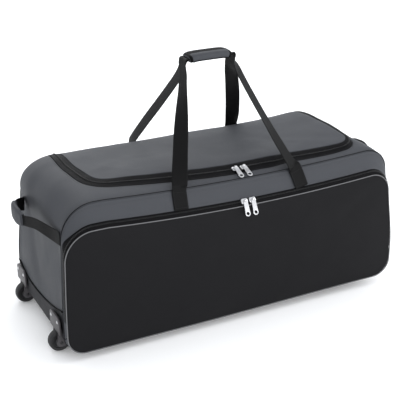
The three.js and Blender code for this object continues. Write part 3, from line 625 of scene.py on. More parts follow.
def addBead(bm, point, turn, shift, halves):
    # A small rounded bead; its shift and half sizes lie along, across and upwards
    place = Matrix.Translation(toFrame(point)) @ turn @ Matrix.Translation(Vector(shift) * mm)
    shape = Matrix.Diagonal((*[half * mm for half in halves], 1))
    bmesh.ops.create_icosphere(bm, subdivisions=1, radius=1.0, matrix=place @ shape)


threadForm = {"pitch": 3.4, "halves": (1.25, 0.375, 0.25), "lift": 0.15}


def stitchRow(bm, points, normals, pitch=threadForm["pitch"]):
    # Thread lying along a line of drawn points, one small bead for each stitch
    gone, due = 0.0, pitch / 2
    for i in range(len(points) - 1):
        step = points[i + 1] - points[i]
        reach = step.length
        while reach > 1e-6 and due <= gone + reach:
            share = (due - gone) / reach
            turn = facingTurn(step.normalized(), normals[i].lerp(normals[i + 1], share))
            spot = points[i].lerp(points[i + 1], share)
            addBead(bm, spot, turn, (0, 0, threadForm["lift"]), threadForm["halves"])
            due += pitch
        gone += reach


cameraForm = {
    "focal": 978.34 / 400,   # focal length over the width of the frame, both in pixels of the photo
    "sensor": 36.0,
    "place": (-1.1108, -2.1776, 1.3539),   # metres from the drawn origin
    "tilt": 23.86,
    "turn": -26.67,
}


def camera():
    data = bpy.data.cameras.new("photoView")
    data.sensor_width = cameraForm["sensor"]
    data.lens = cameraForm["focal"] * data.sensor_width
    data.clip_end = 60
    view = bpy.data.objects.new("photoView", data)
    view.location = Vector(cameraForm["place"]) + drawnShift
    view.rotation_euler = (math.radians(90 - cameraForm["tilt"]), 0, math.radians(cameraForm["turn"]))
    bpy.context.scene.collection.objects.link(view)
    bpy.context.scene.camera = view


studioForm = {
    "floor": (0.96, 0.96, 0.96, 1),
    "floorGlow": 0.1,
    "sky": (0.95, 0.97, 1.0, 1),
    # strength of the sky at the wheeled end, at the other end and as the camera sees it
    "skyLeft": 0.95, "skyRight": 1.4, "skySeen": 1.25,
    # name, place, aim, size, watts
    "lamps": [
        ("backSoftbox", (0.0, 2.4, 2.0), (0, 0, 0.35), 2.2, 32),
        ("frontSoftbox", (0.2, -3.2, 0.9), (0, 0, 0.25), 2.0, 34),
        ("rightSoftbox", (2.8, -1.2, 1.6), (0.2, 0, 0.25), 1.8, 33),
    ],
}


def studioFloor():
    bm = bmesh.new()
    bmesh.ops.create_grid(bm, x_segments=8, y_segments=8, size=14)
    mesh = bpy.data.meshes.new("studioFloor")
    bm.to_mesh(mesh)
    bm.free()
    floor = bpy.data.objects.new("studioFloor", mesh)
    floor.location.z = -0.0005
    bpy.context.scene.collection.objects.link(floor)
    material = bpy.data.materials.new("studioFloor")
    material.use_nodes = True
    sockets = material.node_tree.nodes["Principled BSDF"].inputs
    sockets["Base Color"].default_value = studioForm["floor"]
    sockets["Roughness"].default_value = 0.9
    sockets["Specular IOR Level"].default_value = 0.1
    sockets["Emission Color"].default_value = (1, 1, 1, 1)
    sockets["Emission Strength"].default_value = studioForm["floorGlow"]
    mesh.materials.append(material)


def studioSky():
    # Dimmer towards the wheeled end, but an even white behind the bag
    world = bpy.data.worlds.new("studioSky")
    world.use_nodes = True
    tree = world.node_tree
    towards = addNode(tree, "ShaderNodeTexCoord").outputs["Generated"]
    dimmed = addNode(tree, "ShaderNodeMapRange", {
        "Value": addNode(tree, "ShaderNodeSeparateXYZ", {"Vector": towards}).outputs["X"],
        "From Min": -1.0, "To Min": studioForm["skyLeft"], "To Max": studioForm["skyRight"],
    }).outputs["Result"]
    strength = addNode(tree, "ShaderNodeMix", {
        "Factor": addNode(tree, "ShaderNodeLightPath").outputs["Is Camera Ray"],
        "A": dimmed, "B": studioForm["skySeen"],
    }).outputs["Result"]
    background = tree.nodes["Background"].inputs
    background["Color"].default_value = studioForm["sky"]
    tree.links.new(strength, background["Strength"])
    bpy.context.scene.world = world


def studioLamps():
    for name, place, aim, size, watts in studioForm["lamps"]:
        data = bpy.data.lights.new(name, "AREA")
        data.size = size
        data.energy = watts
        lamp = bpy.data.objects.new(name, data)
        lamp.location = place
        lamp.rotation_euler = (Vector(aim) - Vector(place)).to_track_quat("-Z", "Y").to_euler()
        bpy.context.scene.collection.objects.link(lamp)


camera()
studioFloor()
studioSky()
studioLamps()
bpy.context.scene.view_settings.view_transform = "Standard"
print("camera and studio made")


# Lid and its zip, laid out in plan

lidForm = {
    "line": [(-364, 188), (-372, 12), (-350, -77), (-245, -106), (0, -128), (180, -125), (318, -130),
             (368, -123), (389, -97), (391, -40), (389, 188)],
    "gap": 0.4,
    "backY": 188,
    "edgeReach": 90,   # how far its raised edge lifts the lid
    "corners": (0.215, 0.79),   # shares of the zip's length at its two front corners
    # share of the zip's length, the tape's inner edge, how far that edge stands up, the tape's outer edge
    # and the share of its width that lies level before it drops
    "edge": [(0.0, -14, 0, 18, 0), (0.1, -15, 1, 18, 0), (0.2, -18, 4, 18, 0), (0.3, -18, 7, 18, 0),
             (0.55, -18, 7, 18, 0), (0.68, -15, 7, 16, 0.05), (0.75, -10, 8, 14, 0.2), (0.79, -6, 9, 9, 0.35),
             (0.84, -6, 9, 11, 0.45), (0.93, -6, 8, 15, 0.45), (1.0, -6, 6, 18, 0.4)],
}


def tableAt(table, place, column=1):
    # A value from a short table, eased between its rows
    for low, high in zip(table, table[1:]):
        if place <= high[0]:
            return lerp(low[column], high[column], smoothStep((place - low[0]) / (high[0] - low[0])))
    return table[-1][column]


def centripetal(points, closeness):
    # Smooth curve through points: closeness points for each stretch, or one number for all
    ends = [points[0] * 2 - points[1], *points, points[-1] * 2 - points[-2]]
    line = []
    for i in range(len(points) - 1):
        a, b, c, d = ends[i:i + 4]
        ta = 0.0
        tb = ta + max((b - a).length, 1e-6) ** 0.5
        tc = tb + max((c - b).length, 1e-6) ** 0.5
        td = tc + max((d - c).length, 1e-6) ** 0.5
        count = closeness[i] if isinstance(closeness, (list, tuple)) else closeness
        for k in range(count + (i == len(points) - 2)):
            t = lerp(tb, tc, k / count)
            ab = lerp(a, b, (t - ta) / (tb - ta))
            bc = lerp(b, c, (t - tb) / (tc - tb))
            cd = lerp(c, d, (t - tc) / (td - tc))
            abc = lerp(ab, bc, (t - ta) / (tc - ta))
            bcd = lerp(bc, cd, (t - tb) / (td - tb))
            line.append(lerp(abc, bcd, (t - tb) / (tc - tb)))
    return line


class Run:
    # A line of points that gives its place and direction at a share of its length
    def __init__(self, points):
        self.points = points
        self.reach = [0.0]
        for a, b in zip(points, points[1:]):
            self.reach.append(self.reach[-1] + (b - a).length)
        self.length = self.reach[-1]

    def at(self, share):
        goal = min(max(share, 0.0), 1.0) * self.length
        low, high = 0, len(self.points) - 1
        while high - low > 1:
            middle = (low + high) // 2
            low, high = (middle, high) if self.reach[middle] <= goal else (low, middle)
        step = self.points[high] - self.points[low]
        return self.points[low] + step * ((goal - self.reach[low]) / max(step.length, 1e-9))

    def way(self, share, reach=0.004):
        return (self.at(share + reach) - self.at(share - reach)).normalized()


zipRun = Run(centripetal([Vector((x, y, 0)) for x, y in lidForm["line"]], 24))


def zipPlan(share, offset):
    # Plan point beside the zip's middle line; a positive offset lies outside the lid
    point = zipRun.at(share)
    way = zipRun.way(share)
    place = Vector((point.x + way.y * offset, point.y - way.x * offset))
    if share <= 0 or share >= 1:
        place.y = lidForm["backY"]
    return place


def tapeAcross(share, t):
    # Offset and height of the tape from its raised inner edge, t = 0, to its outer edge, t = 1
    inner, lift, outer, crest = [tableAt(lidForm["edge"], share, column) for column in (1, 2, 3, 4)]
    return lerp(inner, outer, t), lift * (1 - max(0.0, t - crest) / (1 - crest)) ** 1.6


def topPoint(plan, lift=0.0):
    return clothPoint(uAtX(plan.x, plan.y), plan.y, lift)


def bandPiece():
    # The grey strip of both ends and the top, as rings from the zip's outer edge out to the seams
    counts = (44, 120, 44, 96)
    rings = 26
    first, second = lidForm["corners"]

    def rim(share):
        return zipPlan(share, tableAt(lidForm["edge"], share, 3) + lidForm["gap"])

    rightX, leftX = rim(1).x, rim(0).x
    backLine = lidForm["backY"] + lidForm["gap"]
    leftKick, rightKick = lengthAt(kickU(frontY, -1)), lengthAt(kickU(frontY, 1))
    leftBack, rightBack = lengthAt(kickU(backY, -1)), lengthAt(kickU(backY, 1))
    inside, outside = [], []

    def addColumn(plan, length, y):
        inside.append((lengthAt(uAtX(plan.x, plan.y)), plan.y))
        outside.append((length, y))

    for t in spread(0, 1, counts[0])[:-1]:
        y = lerp(backY, frontY, t)
        addColumn(rim(first * t), lengthAt(kickU(y, -1)), y)
    for t in spread(0, 1, counts[1])[:-1]:
        addColumn(rim(lerp(first, second, t)), lerp(leftKick, rightKick, t), frontY)
    for t in spread(0, 1, counts[2])[:-1]:
        y = lerp(frontY, backY, t)
        addColumn(rim(lerp(second, 1, t)), lengthAt(kickU(y, 1)), y)
    for t in spread(0, 1, counts[3]):
        addColumn(Vector((lerp(rightX, leftX, t), backLine)), lerp(rightBack, leftBack, t), backY)

    def place(i, j):
        share = j / rings
        length = lerp(inside[i][0], outside[i][0], share)
        y = lerp(inside[i][1], outside[i][1], share)
        return clothPoint(uAtLength(length), y)[0], (length * mm, y * mm)

    bm = mappedGrid(len(inside) - 1, rings, place)
    weld(bm)
    faceOutwards(bm)
    thicken(addPiece("bodyBand", bm, greyCloth, "grey_cloth", stands=["body_band"]), bagForm["cloth"])


def lidPiece():
    # Lid cloth inside the zip, laid out between its four edges
    columns, rows = 96, 44
    first, second = lidForm["corners"]

    def edge(share):
        return zipPlan(share, tableAt(lidForm["edge"], share) - lidForm["gap"])

    left = [edge(lerp(0, first, t)) for t in spread(0, 1, rows)]
    right = [edge(lerp(1, second, t)) for t in spread(0, 1, rows)]
    front = [edge(lerp(first, second, t)) for t in spread(0, 1, columns)]
    back = [left[0].lerp(right[0], t) for t in spread(0, 1, columns)]

    def place(i, j):
        a, b = i / columns, j / rows
        plan = left[j].lerp(right[j], a) + back[i].lerp(front[i], b) \
            - left[0].lerp(right[0], a).lerp(left[-1].lerp(right[-1], a), b)
        lift, total = 0.0, 0.0
        for spot, share in ((left[j], lerp(0, first, b)), (right[j], lerp(1, second, b)),
                            (front[i], lerp(first, second, a))):
            weight = math.exp(-((spot - plan).length / lidForm["edgeReach"]) ** 2)
            lift += weight * tableAt(lidForm["edge"], share, 2)
            total += weight
        return topPoint(plan, lift / max(total, 1.0))[0], (plan.x * mm, plan.y * mm)

    bm = mappedGrid(columns, rows, place)
    faceOutwards(bm)
    thicken(addPiece("lidPanel", bm, greyCloth, "grey_cloth", stands=["lid_panel"]), bagForm["cloth"])


def lidTapePiece():
    # Black tape either side of the zip, with a turned-down outer edge
    columns = 240
    across = zipForm["across"]
    near, far = zipForm["rib"]

    def place(i, j):
        share = i / columns
        offset, lift = tapeAcross(share, across[j])
        proud = zipForm["ribHeight"] if near < abs(across[j] - 0.5) < far else 0.0
        point = topPoint(zipPlan(share, offset), lift + proud - zipForm["sink"])[0]
        return point, (share * zipRun.length * mm, offset * mm)

    bm = mappedGrid(columns, len(across) - 1, place)
    faceOutwards(bm)
    thicken(addPiece("lidZipTape", bm, tapeCloth, "zip_tape", stands=["lid_zip_tape"]), zipForm["tape"])


zipForm = {
    "tape": 1.6,
    # shares of the tape's width from one edge to the other, and its raised ribs beside the teeth
    "across": [0, 0.07, 0.24, 0.37, 0.41, 0.5, 0.59, 0.63, 0.76, 0.9, 0.96, 1],
    "rib": (0.08, 0.28),
    "ribHeight": 0.7,
    "sink": 0.3,
    "pitch": 2.3,
    "tooth": (0.95, 2.4, 1.1),   # half sizes
    "stagger": 0.9,
    "rise": 1.2,
}


def toothRow(name, place, length, node):
    # Interlocked zip teeth, alternately from either side; place gives a point and its upward direction
    bm = bmesh.new()
    count = int(length / zipForm["pitch"])
    for i in range(count):
        share = (i + 0.5) / count
        point, up = place(share)
        turn = facingTurn((place(share + 0.003)[0] - point).normalized(), up)
        side = zipForm["stagger"] if i % 2 else -zipForm["stagger"]
        addBead(bm, point, turn, (0, side, 0), zipForm["tooth"])
    addPiece(name, bm, zipTeeth, "zip_chain", stands=[node])


def lidTeethPiece():
    def place(share):
        share = lerp(0.01, 0.99, share)
        offset, lift = tapeAcross(share, 0.5)
        return topPoint(zipPlan(share, offset), lift + zipForm["rise"])

    toothRow("lidZipTeeth", place, zipRun.length * 0.98, "lid_zip_chain")


bandPiece()
lidPiece()
lidTapePiece()
lidTeethPiece()
print("band, lid and lid zip made")


# Base, pocket and the panels between them

wheelForm = {
    "x": -476, "y": (-120, 158), "radius": 29,
    "wellHalf": 20.3, "wellRight": -434, "wellTop": 72.3,
}


def basePiece():
    wells = [y + side * wheelForm["wellHalf"] for y in wheelForm["y"] for side in (-1, 1)]
    ys = sorted([backY, frontY, *wells])
    lines = stepped(ys, [max(2, round((stop - start) / 12)) for start, stop in zip(ys, ys[1:])])
    fixed = stepped((5, 6, 7, 8), (8, 60, 12))
    side = 6

    def place(i, j):
        y = lines[j]
        rightU, leftU = kickU(y, 1), 8 + kickU(y, -1)
        if i < side:
            u = lerp(rightU, 5, i / side)
        elif i < side + len(fixed) - 1:
            u = fixed[i - side]
        else:
            u = lerp(8, leftU, (i - side - len(fixed) + 1) / side)
        point = clothPoint(u, y, 0, 0.6 if 5.6 < u < 7.4 else 1.0)[0]
        return point, (lengthAt(u) * mm, y * mm)

    bm = mappedGrid(2 * side + len(fixed) - 1, len(lines) - 1, place)

    def inWell(face):
        spot = (face.calc_center_median() - drawnShift) / mm
        if spot.x >= wheelForm["wellRight"] or spot.z >= wheelForm["wellTop"]:
            return False
        return any(abs(spot.y - y) < wheelForm["wellHalf"] for y in wheelForm["y"])

    bmesh.ops.delete(bm, geom=[face for face in bm.faces if inWell(face)], context="FACES")
    faceOutwards(bm)
    thicken(addPiece("baseTray", bm, baseCloth, "ribbed_base", stands=["base_tray"]), bagForm["cloth"])


pocketForm = {
    "zipLow": 112,
    "tapeY": -187.5,
    # place round the bag and where the tape starts there
    "tapeEdge": [(0.0, -171), (0.9, -173), (1.7, -187.5)],
    "bulge": 11.0,
    "backBulge": 7.0,
    "chainY": -192,
}


def gussetPieces():
    # One ring of cloth from the front seam to the pocket's piping, parted into grey cloth and black zip tape
    leftU = uAtHeight(zipEdge.y, pocketForm["zipLow"], -1)
    rightU = uAtHeight(zipEdge.y, pocketForm["zipLow"], 1)
    margin = bagForm["seamMargin"]
    us = stepped((0, leftU, 1, 2, 3, 4, rightU, 5, 6, 7, 8), (2, 14, 16, 96, 16, 14, 2, 8, 60, 8))
    greyRows, tapeRows = 10, 6
    slant = 1.6   # the gusset's cloth is that much longer than it is deep

    def across(u, j):
        edge = tableAt(pocketForm["tapeEdge"], u)
        if j <= greyRows:
            return lerp(frontSeam.y - margin, edge, j / greyRows)
        return lerp(edge, pocketSeam.y + margin, (j - greyRows) / tapeRows)

    def ring(wanted, sink):
        def place(i, j):
            y = across(us[i], j)
            return clothPoint(us[i], y, -sink)[0], (lengthAt(us[i]) * mm, y * mm * slant)

        bm = mappedGrid(len(us) - 1, greyRows + tapeRows, place)
        layer = bm.loops.layers.uv.verify()
        doomed = []
        for face in bm.faces:
            centre = sum((loop[layer].uv for loop in face.loops), Vector((0, 0))) / 4
            u = uAtLength(centre.x / mm)
            y = centre.y / mm / slant
            if (y < tableAt(pocketForm["tapeEdge"], u) and leftU < u < rightU) != wanted:
                doomed.append(face)
        bmesh.ops.delete(bm, geom=doomed, context="FACES")
        weld(bm)
        faceOutwards(bm)
        return bm

    gusset = addPiece("pocketGusset", ring(False, 0), greyCloth, "grey_cloth", stands=["pocket_gusset"])
    thicken(gusset, bagForm["cloth"])
    tape = addPiece("pocketZipTape", ring(True, 0.4), tapeCloth, "zip_tape", stands=["pocket_zip_tape"])
    thicken(tape, zipForm["tape"])

    leftEnd, rightEnd = lengthAt(leftU), lengthAt(rightU)

    def tooth(share):
        u = uAtLength(lerp(leftEnd + 4, rightEnd - 4, share))
        return clothPoint(u, pocketForm["chainY"], zipForm["rise"])

    toothRow("pocketZipTeeth", tooth, rightEnd - leftEnd - 8, "pocket_zip_chain")


def panelPiece(name, row, facing, bulge, material, slot, node, folds):
    # A cloth panel drawn tight to its seam and swelling towards its middle
    margin = bagForm["seamMargin"]
    low, top = bagForm["low"] + margin, row.top - margin
    left, right = row.left - margin, row.right - margin
    topRadius = max(row.leftRadius, row.rightRadius) - margin
    lowRadius = max(row.lowLeft, row.lowRight) - margin
    heights = [low + lowRadius * (1 - math.cos(a)) for a in spread(0, math.pi / 2, 9)]
    heights += spread(low + lowRadius, top - topRadius, 26)[1:-1]
    heights += [top - topRadius * (1 - math.sin(a)) for a in spread(0, math.pi / 2, 12)]
    columns = 110

    def inset(z, radius, under):
        # How far a rounded corner draws the panel's side in
        radius, under = radius - margin, under - margin
        rise, drop = low + under - z, z - top + radius
        if rise > 0:
            return under - math.sqrt(max(under ** 2 - rise ** 2, 0))
        if drop > 0:
            return radius - math.sqrt(max(radius ** 2 - drop ** 2, 0))
        return 0.0

    middle = Vector(((right - left) / 2, 0, (low + top) / 2))
    halfX, halfZ = (right + left) / 2, (top - low) / 2

    def place(i, j):
        z = heights[j]
        leftX = inset(z, row.leftRadius, row.lowLeft) - left
        rightX = right - inset(z, row.rightRadius, row.lowRight)
        x = lerp(leftX, rightX, i / columns)
        point = settle(row, x, z)
        edge = (abs((x - middle.x) / halfX) ** 8 + abs((z - middle.z) / halfZ) ** 8) ** (1 / 8)
        swell = bulge * (1 - min(edge, 1.0) ** 4)
        held = smoothStep((1 - edge) * 6)
        soft = foldMove(Vector((x, 0, z)), folds) + 0.7 * fillMove(Vector((x, row.y, z)))
        pucker = 0.35 * math.sin(x / 2.6) * math.exp(-(1 - edge) * 40)
        point.y += facing * (swell + held * (soft + pucker))
        return point, (x * mm, z * mm)

    bm = mappedGrid(columns, len(heights) - 1, place)
    bm.normal_update()
    if sum(face.normal.y * facing for face in bm.faces) < 0:
        bmesh.ops.reverse_faces(bm, faces=bm.faces[:])
    thicken(addPiece(name, bm, material, slot, stands=[node]), bagForm["cloth"])


pocketFolds = [
    ((-430, 0, 330), (-300, 0, 250), 26, 1.6),
    ((-420, 0, 90), (-330, 0, 150), 24, 1.4),
    ((420, 0, 320), (320, 0, 250), 26, 1.6),
    ((400, 0, 80), (320, 0, 140), 24, 1.4),
    ((-120, 0, 300), (80, 0, 285), 34, 1.2),
    ((60, 0, 120), (240, 0, 150), 40, 1.4),
]
backFolds = [
    ((-400, 0, 340), (-260, 0, 250), 30, 2.0),
    ((400, 0, 340), (280, 0, 240), 30, 2.0),
    ((-200, 0, 180), (120, 0, 210), 60, 2.2),
    ((-380, 0, 80), (-250, 0, 140), 26, 1.6),
    ((380, 0, 80), (260, 0, 150), 26, 1.6),
]


def pipingPiece(name, points, radius, material, slot, node, closed=True):
    bm = bmesh.new()
    tubeInto(bm, points, radius, closed)
    closeUp(bm)
    addPiece(name, bm, material, slot, stands=[node])


def pipings():
    us = stepped(range(9), (20, 18, 60, 18, 20, 12, 40, 12))[:-1]
    for name, row, radius, material, slot, node in (
        ("frontSeamPiping", frontSeam, 0.95, darkBraid, "dark_braid", "front_seam_piping"),
        ("backSeamPiping", backSeam, 0.95, darkBraid, "dark_braid", "back_seam_piping"),
        ("pocketPiping", pocketSeam, 1.4, paleBraid, "pale_braid", "pocket_piping"),
    ):
        pipingPiece(name, [loopPoint(row, u) for u in us], radius, material, slot, node)
    kick = [clothPoint(kickU(y, -1), y, 1.6)[0] for y in spread(backY - 1, frontY + 1, 60)]
    pipingPiece("kickPiping", kick, 2.0, darkBraid, "dark_braid", "kick_piping", closed=False)


basePiece()
gussetPieces()
panelPiece("pocketPanel", pocketSeam, -1, pocketForm["bulge"], blackCloth, "black_cloth", "pocket_panel",
           pocketFolds)
panelPiece("backPanel", backSeam, 1, pocketForm["backBulge"], greyCloth, "grey_cloth", "back_panel",
           backFolds)
panelPiece("frontWall", frontSeam, -1, 0.0, greyCloth, "grey_cloth", "front_wall", [])
pipings()
print("base, pocket, panels and piping made")


# Straps, grips and handles

strapForm = {
    "width": 40.0,
    "thickness": 2.0,
    "centreX": 4,
    "feet": {"front": (-163, 187), "back": (-137, 188)},
    "gripHalf": 61,
    "gripZ": 678,
    "layer": 1.3,
    # past the grip's end: out, aside and down
    "bend": {
        "frontLeft": [(-2, 0, 0), (7, 0, 0.5), (12, 3, 11), (16, 15, 41)],
        "frontRight": [(-2, 0, 0), (8, 0.5, 0.5), (12, 6, 11), (17, 24, 42)],
        "backLeft": [(-2, 0, 0), (3, 0, 1.2), (7, 3, 11), (11, 15, 39)],
        "backRight": [(-2, 0, 0), (3, 0, 1.2), (7.5, 3, 11), (14, 15, 39)],
    },
    # where each riser meets its seam: inward, outside and above
    "lead": {
        "frontLeft": (6, 2, 15), "frontRight": (20, 2, 13),
        "backLeft": (2, 8, -6), "backRight": (2, 3, 9),
    },
    # where it lies over the seam: inward, outside and above
    "over": {
        "frontLeft": (3, 5, -2), "frontRight": (11, 6, -3),
        "backLeft": (0, 6.5, -22), "backRight": (0, 4.8, 0),
    },
    # slack of each riser at mid-length
    "bow": {
        "frontLeft": (-2, 0, 0), "frontRight": (0, 0, -3),
        "backLeft": (0, 0, -2), "backRight": (7, 0, 0),
    },
    # share of the way down and the turn from lying along the bag's depth, in degrees
    "twist": {
        "frontLeft": [(0.1, 0), (0.62, 42), (1, 70), (1.6, 90)],
        "frontRight": [(-1, 0), (-0.4, 36), (0, 45), (0.4, 46), (0.8, 57), (1.1, 68), (1.8, 90)],
        "backLeft": [(0, 4), (0.6, 3), (0.92, 5), (1, 16), (1.2, 70), (1.5, 90)],
        "backRight": [(0, 10), (0.2, 34), (0.5, 54), (1, 90)],
    },
    "seat": 1.3,
    "footLap": 1.5,   # reach of the front feet past the edge of the pocket's tape
    "backDrop": 62,
    "steps": (3, 4, 6, 6, 40, 8, 8),   # places on each stretch, of which the fifth is the way down
    "wayDown": 4,
    "footSteps": 9,   # stations of each foot that are sewn down
    "stitchInset": 3.5,
    "stitchPitch": 3.0,
    "stitchLift": (1.7, 1.9),   # of the rows along the strap and across it
}


def stationsOf(points, wishes):
    # Places on a strap with the direction of its width
    stations = []
    for i, point in enumerate(points):
        along = (points[min(i + 1, len(points) - 1)] - points[max(i - 1, 0)]).normalized()
        across = (wishes[i] - along * wishes[i].dot(along)).normalized()
        stations.append((point, across, along.cross(across)))
    return stations


def riser(side, end):
    # From the middle of the grip down to one foot
    row = "front" if side < 0 else "back"
    hand = 0 if end < 0 else 1
    name = row + ("Left" if end < 0 else "Right")
    form = strapForm
    seam = frontSeam if side < 0 else backSeam
    layer = -side * form["layer"]
    footX = form["feet"][row][hand]
    seamZ = topAt(seam, footX)
    tapeRow = rowAt(pocketForm["tapeY"] - form["footLap"])
    foot = Vector((footX, tapeRow.y - form["seat"], topAt(tapeRow, footX) + form["seat"]))
    if side > 0:
        foot = Vector((footX, seam.y + pocketForm["backBulge"] + form["seat"], seamZ - form["backDrop"]))
    inward, outside, above = form["lead"][name]
    overIn, overOut, overUp = form["over"][name]
    gripX = form["centreX"] + end * form["gripHalf"]
    knots = [Vector((form["centreX"] + end * form["gripHalf"] / 2, 0, form["gripZ"] + layer))]
    for out, aside, drop in form["bend"][name]:
        knots.append(Vector((gripX + end * out, side * aside, form["gripZ"] + layer - drop)))
    knots += [
        Vector((footX - end * inward, seam.y + side * outside, seamZ + above)),
        Vector((footX - end * overIn, seam.y + side * overOut, seamZ + overUp)),
        foot,
    ]
    points = centripetal(knots, form["steps"])
    wishes = []
    for stretch, count in enumerate(form["steps"]):
        for i in range(count + (stretch == len(form["steps"]) - 1)):
            share = stretch + i / count - form["wayDown"]
            if 0 < share < 1:
                points[len(wishes)] += Vector(form["bow"][name]) * 4 * share * (1 - share)
            twist = math.radians(tableAt(form["twist"][name], share))
            wishes.append(Vector((-end * math.sin(twist), side * math.cos(twist), 0)))
    return points, wishes


def strapPiece(name, stations, widthAt, node):
    # Webbing through its stations; widthAt gives its width at a share of its length
    rows = 8
    run = Run([station[0] for station in stations])

    def place(i, j):
        point, across, face = stations[i]
        offset = (j / rows - 0.5) * widthAt(run.reach[i] / run.length)
        curl = 1 - (2 * j / rows - 1) ** 2 + noise.noise(point / 40 + Vector((0, 0, offset / 60)))
        return point + across * offset + face * curl / 2, (run.reach[i] * mm, offset * mm)

    bm = mappedGrid(len(stations) - 1, rows, place)
    thicken(addPiece(name, bm, strapWebbing, "webbing", stands=[node]), strapForm["thickness"], 0.0)


def carryStraps():
    feet = []
    last = strapForm["footSteps"]
    for name, side, node in (
        ("carryStrapFront", -1, "carry_strap_front"),
        ("carryStrapBack", 1, "carry_strap_back"),
    ):
        leftPoints, leftWishes = riser(side, -1)
        rightPoints, rightWishes = riser(side, 1)
        stations = stationsOf(leftPoints[::-1] + rightPoints, leftWishes[::-1] + rightWishes)
        strapPiece(name, stations, lambda share: strapForm["width"], node)
        feet += [stations[:last], stations[:-last - 1:-1]]
    strapStitches(feet)


def strapStitches(feet):
    # Sewn boxes where the straps cross the seams
    bm = bmesh.new()
    half = strapForm["width"] / 2 - strapForm["stitchInset"]
    pitch = strapForm["stitchPitch"]
    lift, liftAcross = strapForm["stitchLift"]
    for foot in feet:
        point, _, up = foot[0]
        if up.dot(point - drawnMiddle) < 0:
            up = -up
        normals = [face if face.dot(up) > 0 else -face for _, _, face in foot]
        for side in (-1, 1):
            line = [p + a * side * half + n * lift for (p, a, _), n in zip(foot, normals)]
            stitchRow(bm, line, normals, pitch)
        for k in (1, len(foot) - 2):
            point, across, _ = foot[k]
            line = [point + across * side * half + normals[k] * liftAcross for side in (-1, 1)]
            stitchRow(bm, line, [normals[k]] * 2, pitch)
    addPiece("strapStitches", bm, blackThread, "webbing")


def sleeveOffset(form, station, angle, end, proud=0.0):
    # From the strap's middle to the skin of its padded sleeve, which is drawn in towards its two rims
    _, across, face = station
    c, s = math.cos(angle), math.sin(angle)
    flat = (abs(c) ** 3.2 + abs(s) ** 3.2) ** (-1 / 3.2)
    tall = lerp(form["rim"], 1, math.sin(math.pi / 2 * min(end / form["taper"], 1.0)))
    plump = lerp(form["rimDepth"], 1, smoothStep(end / form["taper"]))
    up = flat * form["height"] / 2 * tall + proud
    out = flat * form["depth"] / 2 * plump + proud
    return across * c * up + face * s * out


def sleevePiece(name, stations, form, node, seed):
    # Padded wrap round a strap
    around = 40
    run = Run([station[0] for station in stations])

    def place(i, j):
        share = run.reach[i] / run.length
        angle = 2 * math.pi * j / around
        spot = Vector((share * 9 + seed, math.cos(angle) * 1.6, math.sin(angle) * 1.6))
        wrinkle = 1 + 0.03 * noise.noise(spot)
        offset = sleeveOffset(form, stations[i], angle, min(share, 1 - share) * run.length)
        return stations[i][0] + offset * wrinkle, (share * run.length * mm, angle / (2 * math.pi) * 0.12)

    bm = mappedGrid(len(stations) - 1, around, place)
    weld(bm, 1e-7)
    rims = [edge for edge in bm.edges if edge.is_boundary]
    bmesh.ops.holes_fill(bm, edges=rims, sides=0)
    caps = [face for face in bm.faces if len(face.verts) > 4]
    for cap in caps:
        bmesh.ops.inset_region(bm, faces=[cap], thickness=0.0022, depth=-0.0008)
    bmesh.ops.recalc_face_normals(bm, faces=bm.faces[:])
    piece = addPiece(name, bm, greyCloth, "grey_cloth", stands=[node])
    roundOff(piece)


def bindingBand(bm, stations, form, span, sweep=(0, 360), rows=6):
    # Folded tape round the rim of a sleeve, or along it over part of its section
    around = max(8, round(40 * (sweep[1] - sweep[0]) / 360))
    run = Run([station[0] for station in stations])

    def place(i, j):
        share = lerp(span[0], span[1], i / rows)
        near = min(range(len(stations)), key=lambda n: abs(run.reach[n] / run.length - share))
        crossed = i / rows if sweep[1] - sweep[0] == 360 else j / around
        proud = 1.6 * abs(math.sin(math.pi * crossed)) ** 0.5 - 0.4
        angle = math.radians(lerp(sweep[0], sweep[1], j / around))
        end = min(share, 1 - share) * run.length
        return run.at(share) + sleeveOffset(form, stations[near], angle, end, proud), (share, j / around)

    joinInto(bm, mappedGrid(rows, around, place))


def sleeveBinding(stations, form, topped=True):
    # Tape round both rims of a sleeve, and along its top
    bm = bmesh.new()
    for span in ((0.0, form["band"]), (1 - form["band"], 1.0)):
        bindingBand(bm, stations, form, span)
    if topped:
        bindingBand(bm, stations, form, form["topSpan"], form["topSweep"], 30)
    return bm


gripForm = {
    "height": 47.2, "depth": 21.0, "rim": 0.94, "rimDepth": 0.86, "taper": 12.0, "band": 0.06,
    "topSpan": (0.04, 0.96), "topSweep": (-20, 108),   # share of the length, degrees round the section
    "half": 58.0, "droop": 4.0, "rise": 3.0,
    "seamWire": (20.5, 8.0, 1.5),   # below the middle, behind it and its radius
}


def carryGrip():
    points = []
    for x in spread(-gripForm["half"], gripForm["half"], 36):
        bend = gripForm["rise"] - gripForm["droop"] * abs(x / gripForm["half"]) ** 5
        points.append(Vector((strapForm["centreX"] + x, 0, strapForm["gripZ"] + bend)))
    stations = stationsOf(points, [Vector((0, 1, 0))] * len(points))
    sleevePiece("carryGrip", stations, gripForm, "carry_grip", 0.0)
    bm = sleeveBinding(stations, gripForm)
    below, behind, radius = gripForm["seamWire"]
    tubeInto(bm, [p - a * below - f * behind for p, a, f in stations[2:-2]], radius)
    closeUp(bm, 1e-7)
    addPiece("carryGripBinding", bm, bindingTape, "webbing")


